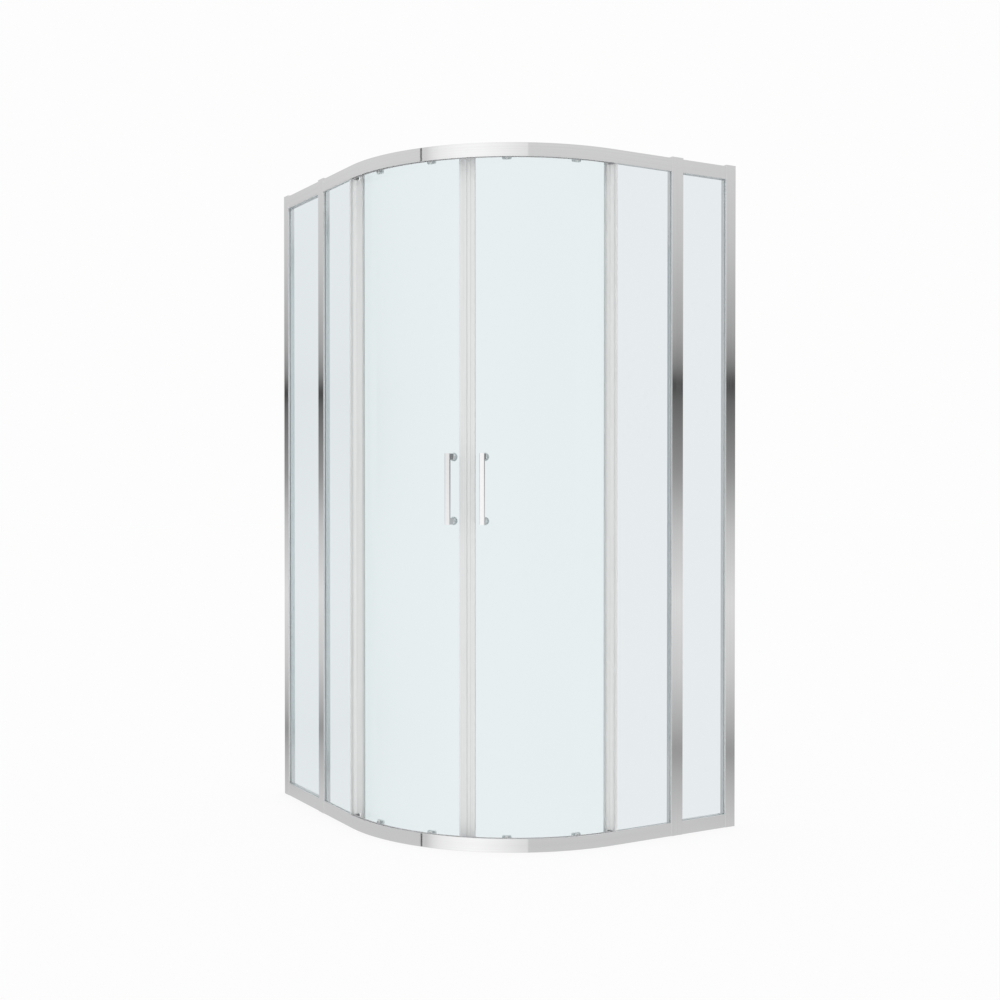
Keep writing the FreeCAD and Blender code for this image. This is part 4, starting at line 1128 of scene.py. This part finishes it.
@dataclass
class Studio:
    """Floor, light and camera."""

    eye: tuple[float, float, float] = (-2.1415, -3.667, 1.006)
    heading: tuple[float, float] = (0.5053, 0.8629)
    tilt: float = math.radians(-0.576)
    lens: float = 49.095
    sensor: float = 36.0
    backdrop: float = 0.982
    ambient: float = 1.0
    shadow_share: float = 0.15
    floor_size: float = 60.0
    floor_drop: float = 0.0005
    wall_reach: float = 0.3
    near_wall: float = 0.09
    near_span: tuple[float, float] = (-0.3, 0.6)
    wall_heights: list[tuple[float, float]] = field(default_factory=lambda: [
        (0.26, 0.72), (0.173, 0.585), (0.109, 0.39), (0.088, 0.25), (0.074, 0.055), (0.062, 0.14),
        (0.011, 0.30), (-0.033, 0.585), (-0.084, 0.765), (-0.135, 0.64), (-0.172, 0.45), (-0.189, 0.32),
        (-0.204, 0.44), (-0.24, 0.625),
    ])
    fields: tuple[Field, ...] = (DARK_SEAM, SOFT_BOX, FAR_FLOOR, NEAR_PANEL, SIDE_PANEL)
    BOUNCED: ClassVar[float] = 0.5

    def build(self) -> None:
        """Build the whole studio."""
        self.light_room()
        self.lay_floor()
        self.set_camera()

    def light_room(self) -> None:
        """World: white to the eye, even light, and studio walls in reflections."""
        world = bpy.data.worlds.new("studio")
        bpy.context.scene.world = world
        world.use_nodes = True
        board = NodeBoard(world.node_tree)
        way = board.add("ShaderNodeTexCoord").outputs["Generated"]
        seen, mirrored = self.sight(board)
        walls = board.add("ShaderNodeBackground", {"Color": self.studio_walls(board, way)})
        even = board.add("ShaderNodeBackground", {"Strength": self.ambient, "Color": WHITE})
        white = board.add("ShaderNodeBackground", {"Strength": self.backdrop, "Color": WHITE})
        whole = board.blend(seen, board.blend(mirrored, even, walls), white)
        board.add("ShaderNodeOutputWorld", {"Surface": whole.outputs[0]})

    def sight(self, board: NodeBoard) -> tuple[Socket, Socket]:
        """Tell what is seen straight or through glass from what is seen in a mirroring surface.

        Args:
            board: board of the world or of the floor.

        Returns:
            The output that is 1 for direct sight and the one that is 1 for mirrored sight.
        """
        rays = board.add("ShaderNodeLightPath")
        bounced = board.math("GREATER_THAN", rays.outputs["Glossy Depth"], self.BOUNCED)
        through = rays.outputs["Is Transmission Ray"]
        mirrored = board.math(
            "MAXIMUM", rays.outputs["Is Glossy Ray"], board.math("MULTIPLY", through, bounced)
        )
        straight = board.math("MAXIMUM", rays.outputs["Is Camera Ray"], through)
        return board.math("MULTIPLY", straight, board.math("SUBTRACT", 1.0, bounced)), mirrored

    def studio_walls(self, board: NodeBoard, way: Socket) -> Socket:
        """Level of the walls by height, with the fields that lie on them by direction.

        Args:
            board: board of the world.
            way: direction output.

        Returns:
            The level's output.
        """
        parts = board.split(way)
        beside = board.spread(parts.outputs["Y"], *self.near_span)
        closer = board.math("ADD", 1.0, board.math("MULTIPLY", beside, self.near_wall))
        height = board.math("MULTIPLY", parts.outputs["Z"], closer)
        wall = board.graded(height, self.wall_reach, self.wall_heights)
        for part in self.fields:
            wall = part.lay(board, way, wall)
        return wall

    def lay_floor(self) -> None:
        """Pale floor that runs into the white room and keeps a soft shadow of the enclosure."""
        bpy.ops.mesh.primitive_plane_add(size=self.floor_size, location=(0.0, 0.0, -self.floor_drop))
        floor = bpy.context.active_object
        floor.name = "studio_floor"
        material = bpy.data.materials.new("studio_floor")
        material.use_nodes = True
        board = NodeBoard(material.node_tree)
        paint = board.add("ShaderNodeBsdfDiffuse", {"Color": (*[self.backdrop] * 3, 1.0)})
        white = board.add("ShaderNodeEmission", {"Color": WHITE, "Strength": self.backdrop})
        clear = board.add("ShaderNodeBsdfTransparent")
        seen, mirrored = self.sight(board)
        share = board.math("MULTIPLY", seen, 1.0 - self.shadow_share)
        whole = board.blend(mirrored, board.blend(share, paint, white), clear)
        board.add("ShaderNodeOutputMaterial", {"Surface": whole.outputs[0]})
        floor.data.materials.append(material)
        floor.visible_glossy = False

    def set_camera(self) -> None:
        """Camera at the viewing angle."""
        data = bpy.data.cameras.new("camera")
        data.sensor_width = self.sensor
        data.lens = self.lens
        camera = bpy.data.objects.new("camera", data)
        bpy.context.scene.collection.objects.link(camera)
        flat = math.cos(self.tilt)
        ahead = Vector((self.heading[0] * flat, self.heading[1] * flat, math.sin(self.tilt)))
        camera.location = self.eye
        camera.rotation_mode = "QUATERNION"
        camera.rotation_quaternion = ahead.to_track_quat("-Z", "Y")
        bpy.context.scene.camera = camera


def main() -> None:
    """Build the sub-assemblies in order, then the studio."""
    logging.basicConfig(level=logging.INFO, format="%(message)s")
    bpy.ops.object.select_all(action="DESELECT")
    bpy.context.scene.view_settings.view_transform = "Standard"
    palette, curve = Palette(), Curve()
    assemblies = [Posts(palette, curve), Rails(palette, curve), FixedPanels(palette, curve)]
    assemblies += [kind(palette, curve, side) for side in SIDES for kind in (Door, Rollers)]
    for assembly in assemblies:
        assembly.build()
    Studio().build()


if __name__ == "__main__":
    main()
